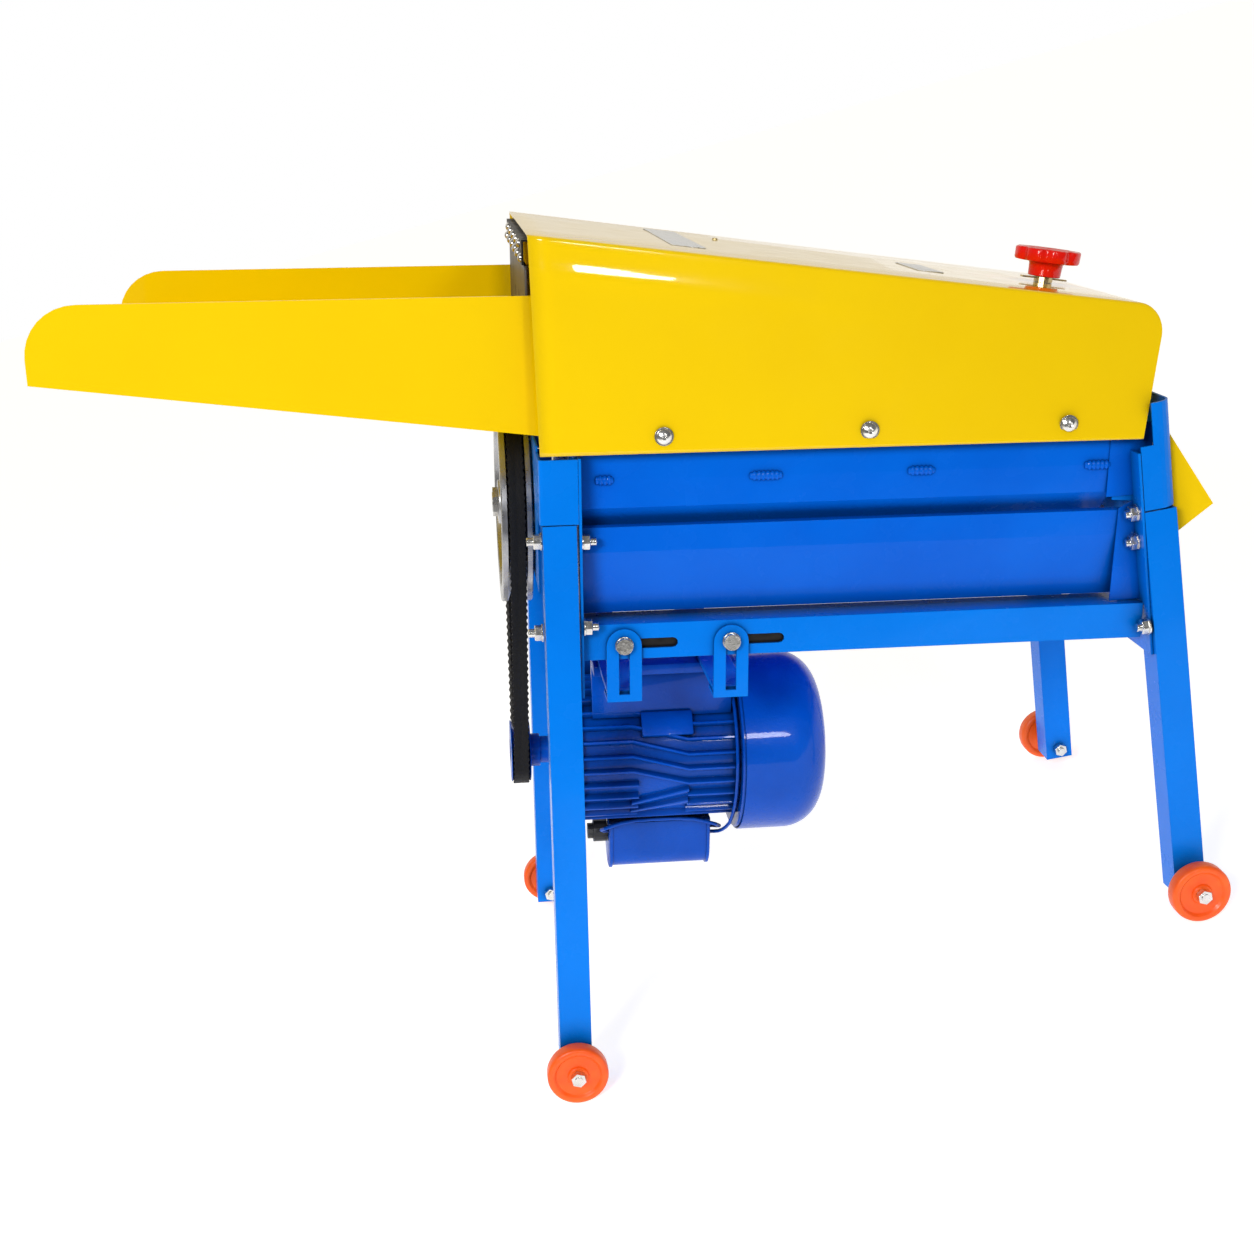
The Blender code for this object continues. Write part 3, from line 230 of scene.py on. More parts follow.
# Hood: one folded steel sheet with a crisp top bend, a rolled far corner and a soft raised crease
# along both shoulders near the feed, screwed down at the sides; glossy yellow enamel that mirrors
# the room at a low angle. It lies along the sloping body, whose directions its joints give.
joint = {row["name"]: row for row in frame["record"]["behaviour"]["joints"]}
along = Vector(joint["drum_turn"]["axis"])
square = Vector(joint["motor_height"]["axis"])
belt_a, drum_h = 0.0742, 0.0810
origin = Vector(joint["drum_turn"]["pos_m"]) - belt_a * along - drum_h * square
body_place = Matrix((along, Vector((0, 1, 0)), square)).transposed().to_4x4()
body_place = Matrix.Translation(origin) @ body_place
hood_yellow = enamel("hood_yellow", (0.955, 0.625, 0.0), (0.975, 0.650, 0.0), 0.14, 0.000006, 0.6)
shader = hood_yellow.node_tree.nodes["Principled BSDF"]
shader.inputs["Coat IOR"].default_value = 1.5
shader.inputs["Coat Roughness"].default_value = 0.02
hood_start, hood_foot_start, hood_end = 0.0864, 0.0922, 0.6493
hood_high, hood_low = 0.3545, 0.1625
hood_top_half, hood_top_narrowing, hood_foot_half = 0.1760, 0.0340, 0.1845
hood_fall, hood_lean = 0.128, 0.2635


def piece(name, shape, material, body, place, stands_for=(), sharp=30, slot=None):
    """Link a bmesh as a named piece, shaded smooth up to a corner angle, riding on a body."""
    bmesh.ops.recalc_face_normals(shape, faces=shape.faces)
    mesh = bpy.data.meshes.new(name)
    shape.to_mesh(mesh)
    shape.free()
    mesh.transform(place)
    mesh.materials.append(material)
    mesh.shade_smooth()
    mesh.set_sharp_from_angle(angle=math.radians(sharp))
    item = bpy.data.objects.new(name, mesh)
    bpy.context.collection.objects.link(item)
    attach(item, body)
    if stands_for:
        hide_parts(*stands_for)
    return item


def arc(centre, radius, start, end, steps):
    """Points on a circle between two angles in degrees."""
    angles = [math.radians(start + (end - start) * i / steps) for i in range(steps + 1)]
    return [(centre[0] + radius * math.cos(t), centre[1] + radius * math.sin(t)) for t in angles]


def skin(shape, loops, closed=True, capped=False):
    """Quads between neighbouring loops of vertices, round each loop when closed, with end caps."""
    for a, b in zip(loops, loops[1:]):
        for k in range(0 if closed else 1, len(a)):
            shape.faces.new((a[k - 1], a[k], b[k], b[k - 1]))
    if capped:
        shape.faces.new(loops[0])
        shape.faces.new(loops[-1])


def thicken(item, name, thickness, offset):
    """Give a one-sided sheet its thickness."""
    sheet = item.modifiers.new(name, "SOLIDIFY")
    sheet.thickness = thickness
    sheet.offset = offset


def hood_top(a):
    """Height of the hood's top at a distance along the body."""
    return hood_high - hood_fall * (a - hood_start)


def hood_half(a, h):
    """Half width of the hood's side at a height."""
    share = min(1, max(0, (a - hood_start) / (hood_end - hood_start)))
    narrow = hood_top_half - hood_top_narrowing * share
    return hood_foot_half + (narrow - hood_foot_half) * (h - hood_low) / (hood_top(a) - hood_low)


def hood_sheet(shape):
    """Cross sections from the feed opening, over the rolled corner, to the foot of the end wall."""
    corner, bend = 0.022, 0.0035
    fall, slope = math.atan(hood_fall), math.atan(hood_lean)
    meet_h = hood_high - hood_fall * (hood_end - hood_lean * hood_low - hood_start)
    meet_h /= 1 + hood_fall * hood_lean
    meet_a = hood_end + hood_lean * (meet_h - hood_low)
    turn = math.pi / 2 - fall + slope
    back = corner * math.tan(turn / 2)
    first = Vector((meet_a - back * math.cos(fall), meet_h + back * math.sin(fall)))
    centre = first - corner * Vector((math.sin(fall), math.cos(fall)))
    tops = [hood_start + (first.x - hood_start) * i / 28 for i in range(28)]
    tops = [(a, hood_top(a)) for a in tops]
    tops += arc(centre, corner, 90 - math.degrees(fall), 90 - math.degrees(fall + turn), 14)
    run = [0]
    for before, after in zip(tops, tops[1:]):
        run.append(run[-1] + math.dist(before, after))
    rings = []
    for step, (top_a, top_h) in zip(run, tops):
        low_a = hood_foot_start + (hood_end - hood_foot_start) * step / run[-1]
        tall = top_h - hood_low
        narrow = hood_half(top_a, top_h)
        lean = math.atan2(hood_foot_half - narrow, tall)
        reach = bend * math.tan((math.pi / 2 - lean) / 2)
        half = []
        for i in range(41):
            t = i / 40 * (1 - reach / tall)
            gap = tall * (1 - t)
            fade = min(1, step / 0.03) * max(0, 1 - step / 0.34)
            press = 0.0016 * fade * math.exp(-((gap - 0.030) / 0.007) ** 2)
            half.append((hood_foot_half + (narrow - hood_foot_half) * t + press, t))
        middle = (narrow - reach, top_h - bend)
        for i in range(1, 7):
            t = lean + (math.pi / 2 - lean) * i / 6
            height = middle[1] + bend * math.sin(t) - hood_low
            half.append((middle[0] + bend * math.cos(t), height / tall))
        section = [(-y, t) for y, t in half] + [(y * 0.5, 1) for y in (-narrow, narrow)]
        section += [(y, t) for y, t in reversed(half)]
        rings.append([shape.verts.new((low_a + (top_a - low_a) * t, y, hood_low + tall * t))
                      for y, t in section])
    skin(shape, rings, closed=False)
    shape.faces.new(rings[-1])
    return shape


cover = piece("hood_cover", hood_sheet(bmesh.new()), hood_yellow, "frame", body_place, ("hood",), 25)
thicken(cover, "sheet", 0.0015, -1)
dress(hood_yellow, "feed_tray", "cob_chute")

# Hood screws: zinc plated pan heads with a dimpled drive on thin washers, three along each side of
# the hood; the axle bolts and the motor's strap bolts have the same bright plating.
def turned(shape, profile, sides, centre=(0, 0, 0), axis="X", closed=True):
    """Spin (along, radius) points about an axis into a bmesh."""
    rings = []
    for k in range(sides):
        t = math.tau * k / sides
        spots = [(a, r * math.cos(t), r * math.sin(t)) for a, r in profile]
        if axis == "Y":
            spots = [(y, a, z) for a, y, z in spots]
        if axis == "Z":
            spots = [(y, z, a) for a, y, z in spots]
        rings.append([shape.verts.new(Vector(centre) + Vector(spot)) for spot in spots])
    count = len(profile)
    for k in range(sides):
        a, b = rings[k], rings[(k + 1) % sides]
        for i in range(count if closed else count - 1):
            j = (i + 1) % count
            if profile[i][1] > 1e-7 or profile[j][1] > 1e-7:
                shape.faces.new((a[i], a[j], b[j], b[i]))
    bmesh.ops.remove_doubles(shape, verts=shape.verts, dist=1e-7)
    return shape


zinc, tree, shader = surface("bright_zinc", (0.80, 0.79, 0.76), 0.2, 1.0)
tree.links.new(mottle(tree, 300, 0.14, 0.3), shader.inputs["Roughness"])
tint(tree, shader, mottle(tree, 60, 0, 1), (0.62, 0.61, 0.58), (0.84, 0.83, 0.80))
relief(tree, shader, mottle(tree, 900, 0, 1, 2), 0.00003, 0.0005)
dress(zinc, *[f"{end}_axle_bolt_{side}" for end in ("feed", "chute") for side, _ in SIDES],
      *[f"strap_bolt_{n}_{side}" for n in (1, 2) for side, _ in SIDES])
heads = bmesh.new()
screw_h = 0.1775
for a in (0.2035, 0.3915, 0.5785):
    for _, sign in SIDES:
        foot = hood_half(a, screw_h)
        dome = [(0, 0), (0, 0.0085), (0.0011, 0.0085), (0.0012, 0.0070), (0.0026, 0.0066), (0.0040, 0.0048),
                (0.0047, 0.0026), (0.0042, 0.0018), (0.0034, 0.0009), (0.0033, 0)]
        turned(heads, [(sign * (foot + y), r) for y, r in dome], 32, (a, 0, screw_h), "Y")
piece("hood_screws", heads, zinc, "frame", body_place, slot="zinc")

# Rating plates on the hood's top: two strips of bare brushed silver sheet, left blank, and one small
# brass screw beside the larger.
def slab(shape, low, high, place=Matrix.Identity(4), bevel=0.0):
    """A box between two corners, with its edges rounded over."""
    middle = [(a + b) / 2 for a, b in zip(low, high)]
    size = [abs(b - a) for a, b in zip(low, high)]
    made = bmesh.ops.create_cube(shape, size=1,
                                 matrix=place @ Matrix.Translation(middle) @ Matrix.Diagonal((*size, 1)))
    if bevel:
        edges = list({edge for vertex in made["verts"] for edge in vertex.link_edges})
        bmesh.ops.bevel(shape, geom=edges, offset=bevel, segments=2, profile=0.5, affect="EDGES")
    return shape


level_top = Matrix.Rotation(math.atan(hood_fall), 4, "Y")
top_place = body_place @ Matrix.Translation((hood_start, 0, hood_high)) @ level_top
silver, tree, shader = surface("blank_silver_plate", (0.72, 0.74, 0.78), 0.3, 0.6)
tree.links.new(mottle(tree, 200, 0.22, 0.4, stretch=(1, 12, 1)), shader.inputs["Roughness"])
plates = bmesh.new()
slab(plates, (0.1385, -0.0860, 0), (0.1710, 0.1330, 0.0008), bevel=0.0003)
slab(plates, (0.3880, -0.0380, 0), (0.4140, 0.0450, 0.0008), bevel=0.0003)
piece("rating_plates", plates, silver, "frame", top_place, slot="zinc")
screw = turned(bmesh.new(), [(0, 0), (0, 0.0030), (0.0012, 0.0028), (0.0018, 0.0012), (0.0018, 0)], 24,
               (0.2080, 0.0900, 0), "Z")
brass, tree, shader = surface("plain_brass", (0.62, 0.50, 0.26), 0.3, 1.0)
tree.links.new(mottle(tree, 120, 0.2, 0.45), shader.inputs["Roughness"])
dress(brass, "knob_lock_washer")
piece("top_screw", screw, brass, "frame", top_place, slot="brass")

# Feed opening: black clamp strip with two rows of bright rivets, and the grey brown rubber curtain
# that hangs under it in soft waves, slit into five flaps.
strip_black, tree, shader = surface("strip_black", (0.010, 0.010, 0.011), 0.45)
tree.links.new(mottle(tree, 150, 0.35, 0.6), shader.inputs["Roughness"])
shader.inputs["Specular IOR Level"].default_value = 0.2
dress(strip_black, "curtain_strip")
rivets = bmesh.new()
for row, h in enumerate((0.3325, 0.3430)):
    for k in range(6 - row):
        y = -0.1400 + 0.0550 * (k + 0.5 * row)
        turned(rivets, [(0.0823, 0), (0.0823, 0.0042), (0.0808, 0.0039), (0.0794, 0.0026), (0.0788, 0)],
               24, (0, y, h))
piece("strip_rivets", rivets, zinc, "frame", body_place, slot="zinc")

curtain_rubber, tree, shader = surface("curtain_rubber", (0.10, 0.085, 0.07), 0.45)
tint(tree, shader, mottle(tree, 25, 0, 1), (0.035, 0.030, 0.027), (0.10, 0.085, 0.070))
relief(tree, shader, mottle(tree, 350, 0, 1, 3), 0.0002)
flaps = bmesh.new()
columns, rows, width, drop = 90, 24, 0.3020, 0.1320
grid = [[flaps.verts.new((0.0857 + 0.0012 * (r / rows) * math.sin(c * 0.42) * math.sin(r * 0.16 + 0.6),
                          width * (c / columns - 0.5), 0.3257 - drop * r / rows))
         for c in range(columns + 1)] for r in range(rows + 1)]
for r in range(rows):
    for c in range(columns):
        slit = c % 18 == 17 and r > 5 and c < 80
        if not slit:
            flaps.faces.new((grid[r][c], grid[r + 1][c], grid[r + 1][c + 1], grid[r][c + 1]))
curtain = piece("rubber_curtain", flaps, curtain_rubber, "curtain", body_place, ("infeed_curtain",), 60)
thicken(curtain, "rubber", 0.0024, 0)

# Knob: moulded glossy red plastic, eight finger lobes round a dished cap on a waisted hub, on the
# threaded stud that moves the gate under the hood.
knob_red, tree, shader = surface("knob_red", (0.86, 0.012, 0.004), 0.2)
tint(tree, shader, mottle(tree, 40, 0, 1), (0.76, 0.006, 0.002), (0.86, 0.010, 0.003))
shader.inputs["Specular IOR Level"].default_value = 0.25
shader.inputs["Coat Weight"].default_value = 0.2
knob_place = body_place @ Matrix.Translation((0.611, 0, hood_top(0.611))) @ level_top
knob = bmesh.new()
knob_rings = ((0.0060, 0.0062, 0), (0.0060, 0.0150, 0), (0.0066, 0.0160, 0), (0.0120, 0.0163, 0),
              (0.0185, 0.0168, 0), (0.0200, 0.0180, 0), (0.0202, 0.0290, 0.5), (0.0208, 0.0316, 0.9),
              (0.0224, 0.0328, 1), (0.0312, 0.0330, 1), (0.0327, 0.0324, 0.95), (0.0335, 0.0306, 0.8),
              (0.0334, 0.0262, 0.3), (0.0326, 0.0238, 0), (0.0318, 0.0205, 0), (0.0316, 0.0010, 0))
loops = []
for z, radius, lobe in knob_rings:
    loop = []
    for k in range(160):
        t = math.tau * k / 160
        r = radius - 0.0036 * lobe * (0.5 - 0.5 * math.cos(8 * t)) ** 3
        loop.append(knob.verts.new((r * math.cos(t), r * math.sin(t), z)))
    loops.append(loop)
skin(knob, loops, capped=True)
piece("lobed_knob", knob, knob_red, "knob", knob_place, ("pressure_knob",), 40)

# Drum pulley and bearings: turned cast iron, with bright rims on the pulley; the motor's stator has
# the same grey. The drum, its shaft, the nut, the sieve, the gate and the rotor are bare steel.
cast_grey, tree, shader = surface("machined_cast_iron", (0.45, 0.45, 0.46), 0.25, 1.0)
tree.links.new(mottle(tree, 90, 0.22, 0.38), shader.inputs["Roughness"])
tint(tree, shader, mottle(tree, 40, 0, 1), (0.30, 0.30, 0.31), (0.46, 0.46, 0.47))
dress(cast_grey, "drum_bearing_feed", "drum_bearing_chute", "motor_stator")
bare_steel, tree, shader = surface("bare_steel", (0.62, 0.62, 0.62), 0.25, 1.0)
tree.links.new(mottle(tree, 80, 0.18, 0.4), shader.inputs["Roughness"])
tint(tree, shader, mottle(tree, 20, 0, 1), (0.40, 0.39, 0.38), (0.70, 0.70, 0.70))
dress(bare_steel, "sieve", "shelling_drum", "drum_shaft", "pressure_gate", "motor_rotor", "pulley_nut")


def groove(middle, rim, width):
    """Rim of a V pulley from one face to the other, its corners broken by small chamfers."""
    deep = rim - 0.0098
    return [(middle - width / 2, rim - 0.0010), (middle - width / 2 + 0.0010, rim),
            (middle - 0.0094, rim), (middle - 0.0089, rim - 0.0005), (middle - 0.0054, deep),
            (middle + 0.0054, deep), (middle + 0.0089, rim - 0.0005), (middle + 0.0094, rim),
            (middle + width / 2 - 0.0010, rim), (middle + width / 2, rim - 0.0010)]


wheel = [(0.0592, 0.0103), (0.0592, 0.0210), (0.0600, 0.0220), (0.0690, 0.0235), (0.0702, 0.0250),
         (0.0702, 0.0830), (0.0690, 0.0845), (0.0600, 0.0855), (0.0592, 0.0862)]
wheel += groove(belt_a, 0.1005, 0.030)
wheel += [(0.0892, 0.0862), (0.0884, 0.0855), (0.0794, 0.0845), (0.0782, 0.0830), (0.0782, 0.0250),
          (0.0794, 0.0235), (0.0884, 0.0220), (0.0892, 0.0210), (0.0892, 0.0103)]
drum_place = body_place @ Matrix.Translation((0, 0, drum_h))
piece("belt_pulley", turned(bmesh.new(), wheel, 160), cast_grey, "drum", drum_place, ("drum_pulley",), 25)

# V belt: black cogged rubber, its back flat with a fine seam, its inside moulded in round cogs, run
# taut between the two pulleys.
motor_h = -0.1880
belt_rubber, tree, shader = surface("belt_rubber", (0.008, 0.008, 0.009), 0.6)
shader.inputs["Specular IOR Level"].default_value = 0.15
tree.links.new(mottle(tree, 500, 0.35, 0.7), shader.inputs["Roughness"])
relief(tree, shader, mottle(tree, 1200, 0, 1, 2), 0.0002)


def belt_line(drop, step):
    """Points (y, h) of the belt's loop at a depth under its back, evenly spaced."""
    big, small, high, low = 0.1025, 0.0345, drum_h, motor_h
    spread = math.asin((big - small) / (high - low))
    straight = (high - low) * math.cos(spread)
    lengths = (big * (math.pi + 2 * spread), straight, small * (math.pi - 2 * spread), straight)
    count = round(sum(lengths) / step)
    spots = []
    for k in range(count):
        d = sum(lengths) * k / count
        if d < lengths[0]:
            t = -spread + d / big
            spots.append((big, high, t))
        elif d < lengths[0] + lengths[1]:
            f = (d - lengths[0]) / lengths[1]
            spots.append((big + (small - big) * f, high + (low - high) * f, math.pi + spread))
        elif d < sum(lengths[:3]):
            t = math.pi + spread + (d - lengths[0] - lengths[1]) / small
            spots.append((small, low, t))
        else:
            f = (d - sum(lengths[:3])) / lengths[3]
            spots.append((small + (big - small) * f, low + (high - low) * f, -spread))
    return [((r - drop(k)) * math.cos(t), h + (r - drop(k)) * math.sin(t))
            for k, (r, h, t) in enumerate(spots)]


belt = bmesh.new()
cog = [0.0, 0.0008, 0.0024, 0.0030, 0.0024, 0.0008]
layers = [(-0.0083, lambda k: 0.0004), (-0.0078, lambda k: 0), (-0.0012, lambda k: 0),
          (0, lambda k: 0.0002), (0.0012, lambda k: 0), (0.0078, lambda k: 0), (0.0083, lambda k: 0.0004),
          (0.0066, lambda k: 0.0052), (0.0050, lambda k: 0.0100 - cog[k % 6]),
          (-0.0050, lambda k: 0.0100 - cog[k % 6]), (-0.0066, lambda k: 0.0052)]
loops = [[belt.verts.new((belt_a + across * (1 - 48 * (abs(across) > 0.0075) * cog[k % 6]), y, h))
          for k, (y, h) in enumerate(belt_line(drop, 0.00125))] for across, drop in layers]
skin(belt, loops + loops[:1])
piece("cogged_belt", belt, belt_rubber, "frame", body_place, ("drive_belt",), 35)

# Motor: ribbed alloy body in a darker blue, its ribs stepped round the lifting pad, with turned end
# shields, a deep drawn fan cowl and a small painted pulley on its shaft.
motor_blue = enamel("motor_blue", (0.0, 0.062, 0.42), (0.0, 0.098, 0.60), 0.28, 0.0001, 0.25, 0.0008)
dress(motor_blue, "capacitor_lead_1", "capacitor_lead_2")
motor_place = body_place @ Matrix.Translation((0, 0, motor_h))
body_start, body_end = 0.1345, 0.2965
step_start, step_end = 0.1860, 0.2430
barrel = 0.0700


def rib(shape, path, width=0.0040, height=0.0070):
    """A cast rib on the motor body along (a, degrees from straight down) points."""
    rings = []
    for a, angle in path:
        ring = []
        for across, radius in ((-width * 0.72, barrel - 0.001), (-width * 0.40, barrel + height * 0.86),
                               (-width * 0.22, barrel + height), (width * 0.22, barrel + height),
                               (width * 0.40, barrel + height * 0.86), (width * 0.72, barrel - 0.001)):
            t = math.radians(angle) + across / 0.0735
            ring.append(shape.verts.new((a, -radius * math.sin(t), -radius * math.cos(t))))
        rings.append(ring)
    skin(shape, rings, closed=False, capped=True)


ribs = bmesh.new()
turned(ribs, [(body_start, 0.0560), (body_start, barrel), (body_end, barrel), (body_end, 0.0560)], 120)
for sign in (1, -1):
    for k in range(15):
        angle = 6 + 12 * k
        if 84 < angle < 145:
            spots = [(body_start + 0.001, angle), (step_start, angle),
                     (step_end, angle - 12), (body_end, angle - 12)]
            rib(ribs, [(a, sign * t) for a, t in spots])
        elif 36 < angle < 84:
            rib(ribs, [(body_start + 0.001, sign * angle), (step_start + 0.006, sign * angle)])
            if angle < 72:
                rib(ribs, [(step_end, sign * angle), (body_end, sign * angle)])
        else:
            rib(ribs, [(body_start + 0.001, sign * angle), (body_end, sign * angle)])
    for low in (44, 57):
        rib(ribs, [(step_start - 0.001, sign * low), (step_end + 0.001, sign * (low + 13))], 0.0052, 0.0058)
foot_top = -0.0725 - motor_h
for sign in (-1, 1):
    slab(ribs, (body_start + 0.012, sign * 0.040, 0.0504),
         (body_end - 0.006, sign * 0.052, foot_top - 0.002), bevel=0.001)
    slab(ribs, (body_start + 0.012, sign * 0.038, foot_top - 0.011),
         (body_end - 0.006, sign * 0.078, foot_top), bevel=0.0015)
    pad = Matrix.Rotation(math.radians(-sign * 127), 4, "X")
    slab(ribs, (step_start + 0.010, -0.0130, -0.0775), (step_end + 0.006, 0.0130, -0.0690), pad, 0.0015)
piece("ribbed_motor_body", ribs, motor_blue, "motor", motor_place, ("motor_housing",), 28)

shields = bmesh.new()
turned(shields, [(0.1278, 0.0123), (0.1278, 0.0290), (0.1284, 0.0300), (0.1300, 0.0640), (0.1310, 0.0660),
                 (0.1306, 0.0780), (0.1312, 0.0790), (0.1336, 0.0790), (0.1342, 0.0784),
                 (0.1342, 0.0123)], 128)
piece("front_shield_turned", shields, motor_blue, "motor", motor_place, ("motor_front_shield",))
shields = bmesh.new()
turned(shields, [(0.2968, 0.0123), (0.2968, 0.0905), (0.2980, 0.0921), (0.3016, 0.0921), (0.3028, 0.0905),
                 (0.3028, 0.0123)], 128)
piece("rear_shield_turned", shields, motor_blue, "motor", motor_place, ("motor_rear_shield",))

# Fan cowl: one drawn sheet with a round shoulder and ten air slots in its end.
outer = [(0.2995, 0.0938), (0.3003, 0.0944)]
outer += [(0.3003 + 0.0487 * i / 8, 0.0944) for i in range(1, 8)]
outer += arc((0.3490, 0.0544), 0.040, 90, 0, 20)
outer += [(0.3890, r) for r in (0.048, 0.042, 0.036, 0.030, 0.024, 0.012, 0.0)]
cowl = turned(bmesh.new(), outer, 120, closed=False)
slots = []
for face in cowl.faces:
    centre = face.calc_center_median()
    turn = math.degrees(math.atan2(centre.z, centre.y)) % 36
    if centre.x > 0.3889 and 0.024 < math.hypot(centre.y, centre.z) < 0.048 and turn < 13:
        slots.append(face)
bmesh.ops.delete(cowl, geom=slots, context="FACES")
cowl = piece("fan_cowl_drawn", cowl, motor_blue, "motor", motor_place, ("fan_cowl",), 35)
thicken(cowl, "sheet", 0.0015, -1)

# Capacitor box: round bottomed, with a lip at each end, hung under the motor.
box = bmesh.new()
box_top = -0.0786
outline = [(-0.0270, box_top), (-0.0264, -0.0860), (-0.0256, -0.1000)]
outline += arc((0, -0.1146), 0.0240, 180, 360, 32)
outline += [(0.0256, -0.1000), (0.0264, -0.0860), (0.0270, box_top)]
loops = []
for a, swell in ((0.1652, 0.90), (0.1655, 0.96), (0.1662, 1.0), (0.1690, 1.0), (0.1694, 0.965),
                 (0.2696, 0.965), (0.2700, 1.0), (0.2728, 1.0), (0.2735, 0.96), (0.2738, 0.90)):
    loops.append([box.verts.new((a, y * swell, box_top + (h - box_top) * swell)) for y, h in outline])
skin(box, loops, capped=True)
piece("capacitor_case", box, motor_blue, "motor", motor_place, ("capacitor_box",), 50)

# Motor pulley and the black plastic of the fan and the cable gland.
small = [(0.06395, 0.0123)] + groove(belt_a, 0.0325, 0.0205)
small += [(0.08445, 0.0172), (0.0940, 0.0172), (0.0945, 0.0167), (0.0945, 0.0140), (0.1045, 0.0140),
          (0.1045, 0.0123)]
piece("small_pulley", turned(bmesh.new(), small, 96), motor_blue, "rotor", motor_place,
      ("motor_pulley",), 25)
black_plastic, tree, shader = surface("black_plastic", (0.015, 0.015, 0.015), 0.4)
tree.links.new(mottle(tree, 200, 0.3, 0.5), shader.inputs["Roughness"])
dress(black_plastic, "cooling_fan", "cable_gland")


# Frame bolts: hexagon nuts on stud ends with flat washers, where the end plates are bolted through
# the legs.
def nut(shape, place, length=0.0140):
    """Washer, chamfered hexagon nut and stud end, standing up from a face along Z."""
    made = bmesh.new()
    turned(made, [(0, 0), (0, 0.0085), (0.0014, 0.0085), (0.0014, 0)], 28, axis="Z")
    turned(made, [(0.0014, 0), (0.0014, 0.0040), (length - 0.0006, 0.0040), (length, 0.0034), (length, 0)],
           24, axis="Z")
    rings = []
    for z, radius in ((0.0014, 0.0070), (0.0019, 0.0075), (0.0074, 0.0075), (0.0080, 0.0066)):
        rings.append([made.verts.new((radius * math.cos(math.radians(60 * k + 30)),
                                      radius * math.sin(math.radians(60 * k + 30)), z)) for k in range(6)])
    skin(made, rings, capped=True)
    bmesh.ops.transform(made, matrix=place, verts=made.verts)
    scrap = bpy.data.meshes.new("scrap")
    made.to_mesh(scrap)
    made.free()
    shape.from_mesh(scrap)
    bpy.data.meshes.remove(scrap)


end_a = 0.672
end_place = body_place @ Matrix.Translation((end_a, 0, 0)) @ Matrix.Rotation(math.radians(-8.65), 4, "Y")
ahead = Matrix.Rotation(math.radians(90), 4, "Y")
astern = Matrix.Rotation(math.radians(-90), 4, "Y")
nuts = bmesh.new()
for _, sign in SIDES:
    for a, y, h, way in ((0.1291, 0.1690, 0.0795, ahead), (0.1291, 0.1800, 0.0015, ahead),
                         (0.0930, 0.1660, 0.0805, astern), (0.0924, 0.1660, -0.0068, astern)):
        nut(nuts, Matrix.Translation((a, sign * y, h)) @ way)
piece("feed_frame_nuts", nuts, zinc, "frame", body_place, slot="zinc")
nuts = bmesh.new()
for _, sign in SIDES:
    for y, q in ((0.1700, 0.0905), (0.1660, 0.0612), (0.1800, -0.0200)):
        nut(nuts, Matrix.Translation((-0.0029, sign * y, q)) @ astern, 0.0120)
piece("chute_frame_nuts", nuts, zinc, "frame", end_place, slot="zinc")

# Weld beads: short stitched runs with fine ripples along the side sheets' seam, painted over in the
# sheets' blue with its painted shade.
beads = bmesh.new()
for first, last in ((0.1425, 0.1600), (0.2847, 0.3164), (0.4335, 0.4600), (0.6030, 0.6290)):
    for _, sign in SIDES:
        stations, around = 40, 14
        loops = []
        for i in range(stations + 1):
            f = i / stations
            full = math.sqrt(max(0.0, 1 - (2 * f - 1) ** 6))
            ripple = 1 + 0.16 * math.sin(math.tau * (last - first) * f / 0.0042)
            loops.append([beads.verts.new((first + (last - first) * f,
                                           sign * (0.1622 + 0.0030 * full * ripple * math.cos(t)),
                                           0.1347 + 0.0044 * full * ripple * math.sin(t)))
                          for t in (math.tau * k / around for k in range(around))])
        skin(beads, loops)
bmesh.ops.remove_doubles(beads, verts=beads.verts, dist=1e-6)
piece("seam_welds", beads, panel_blue, "frame", body_place, sharp=80, slot="panel_blue")
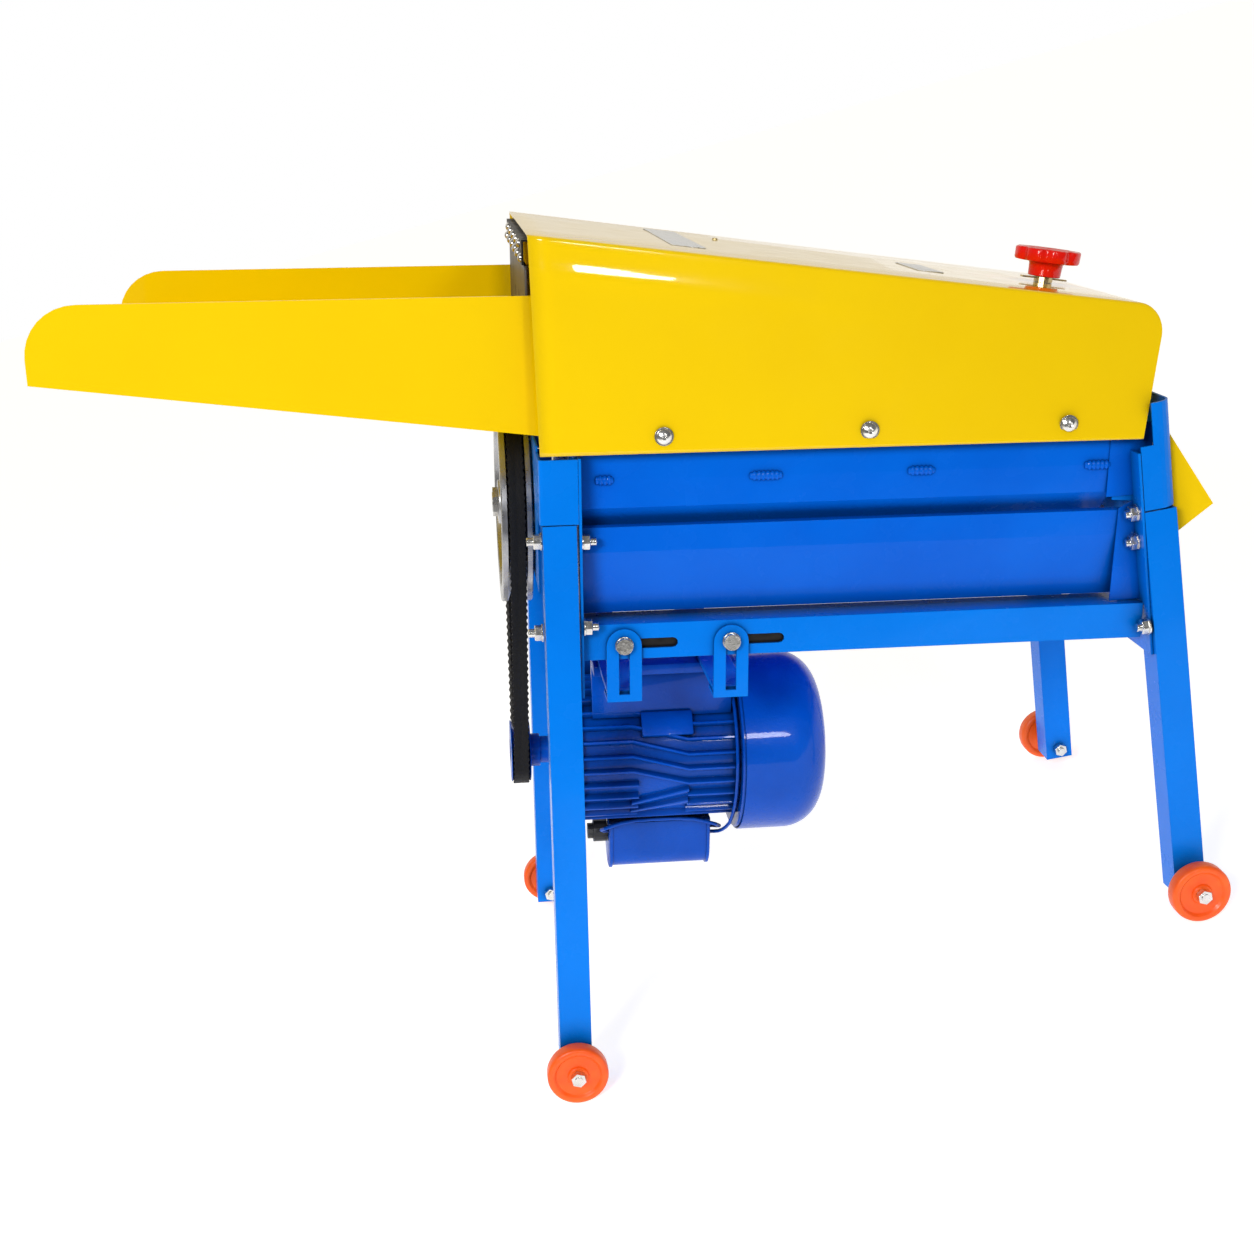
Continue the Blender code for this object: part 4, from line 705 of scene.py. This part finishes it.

# Outlet flaps: small flat sheets along the low end that close the gaps between the side sheets, the
# pan and the end plate, in the same blue with its painted shade.
flaps = bmesh.new()
for _, sign in SIDES:
    for near, corners in ((0.1608, ((0.6385, 0.0005), (0.6405, 0.0920), (0.6545, 0.1000), (0.6560, 0.0990),
                                    (0.6690, 0.0020))),
                          (0.1617, ((0.6270, 0.1035), (0.6270, 0.1740), (0.6660, 0.1740), (0.6690, 0.1430),
                                    (0.6540, 0.1430), (0.6560, 0.1050)))):
        skin(flaps, [[flaps.verts.new((a, sign * y, h)) for a, h in corners]
                     for y in (near, near + 0.0013)], capped=True)
piece("outlet_flaps", flaps, panel_blue, "frame", body_place, slot="panel_blue")

# Clamp plates: steel strips behind the rails' slots, under the strap bolts that hold the motor at its
# height; their near black colour is painted shade, so that the slots read dark.
clamp_steel_painted_shade, tree, shader = surface("clamp_steel_painted_shade", (0.030, 0.027, 0.024), 0.35, 0.8)
tree.links.new(mottle(tree, 120, 0.25, 0.5), shader.inputs["Roughness"])
clamps = bmesh.new()
for _, sign in SIDES:
    for a in (0.1785, 0.2795):
        slab(clamps, (a, sign * 0.1662, -0.0285), (a + 0.0440, sign * 0.1680, -0.0105), bevel=0.0004)
piece("slot_clamp_plates", clamps, clamp_steel_painted_shade, "frame", body_place, slot="steel")

# Wheels: solid moulded orange plastic, with a crowned tread, a raised rim ring and a stepped hub,
# each turning on a bolt through the foot of its leg.
wheel_orange, tree, shader = surface("wheel_orange", (1.0, 0.105, 0.0), 0.35)
tint(tree, shader, mottle(tree, 60, 0, 1), (0.90, 0.085, 0.0), (1.0, 0.125, 0.0))
tree.links.new(mottle(tree, 300, 0.28, 0.5), shader.inputs["Roughness"])
for end in ("feed", "chute"):
    for side, sign in SIDES:
        low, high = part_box(f"{end}_wheel_{side}")
        inner, out = sorted((abs(low[1]), abs(high[1])))
        hub = ((low[0] + high[0]) / 2, 0, (low[2] + high[2]) / 2)
        near = [(out, 0.0046), (out, 0.0092), (out - 0.0006, 0.0100), (out - 0.0024, 0.0106),
                (out - 0.0028, 0.0120), (out - 0.0028, 0.0212), (out - 0.0020, 0.0222),
                (out - 0.0006, 0.0232), (out, 0.0242), (out, 0.0266), (out - 0.0005, 0.0282),
                (out - 0.0016, 0.0294), (out - 0.0034, 0.0300)]
        middle = (inner + out) / 2
        rim = near + [(2 * middle - y, r) for y, r in reversed(near)]
        piece(f"{end}_{side}_moulded_wheel",
              turned(bmesh.new(), [(sign * y, r) for y, r in rim], 96, hub, "Y"), wheel_orange,
              f"wheel_{end}_{side}", Matrix.Identity(4), (f"{end}_wheel_{side}",), 35)
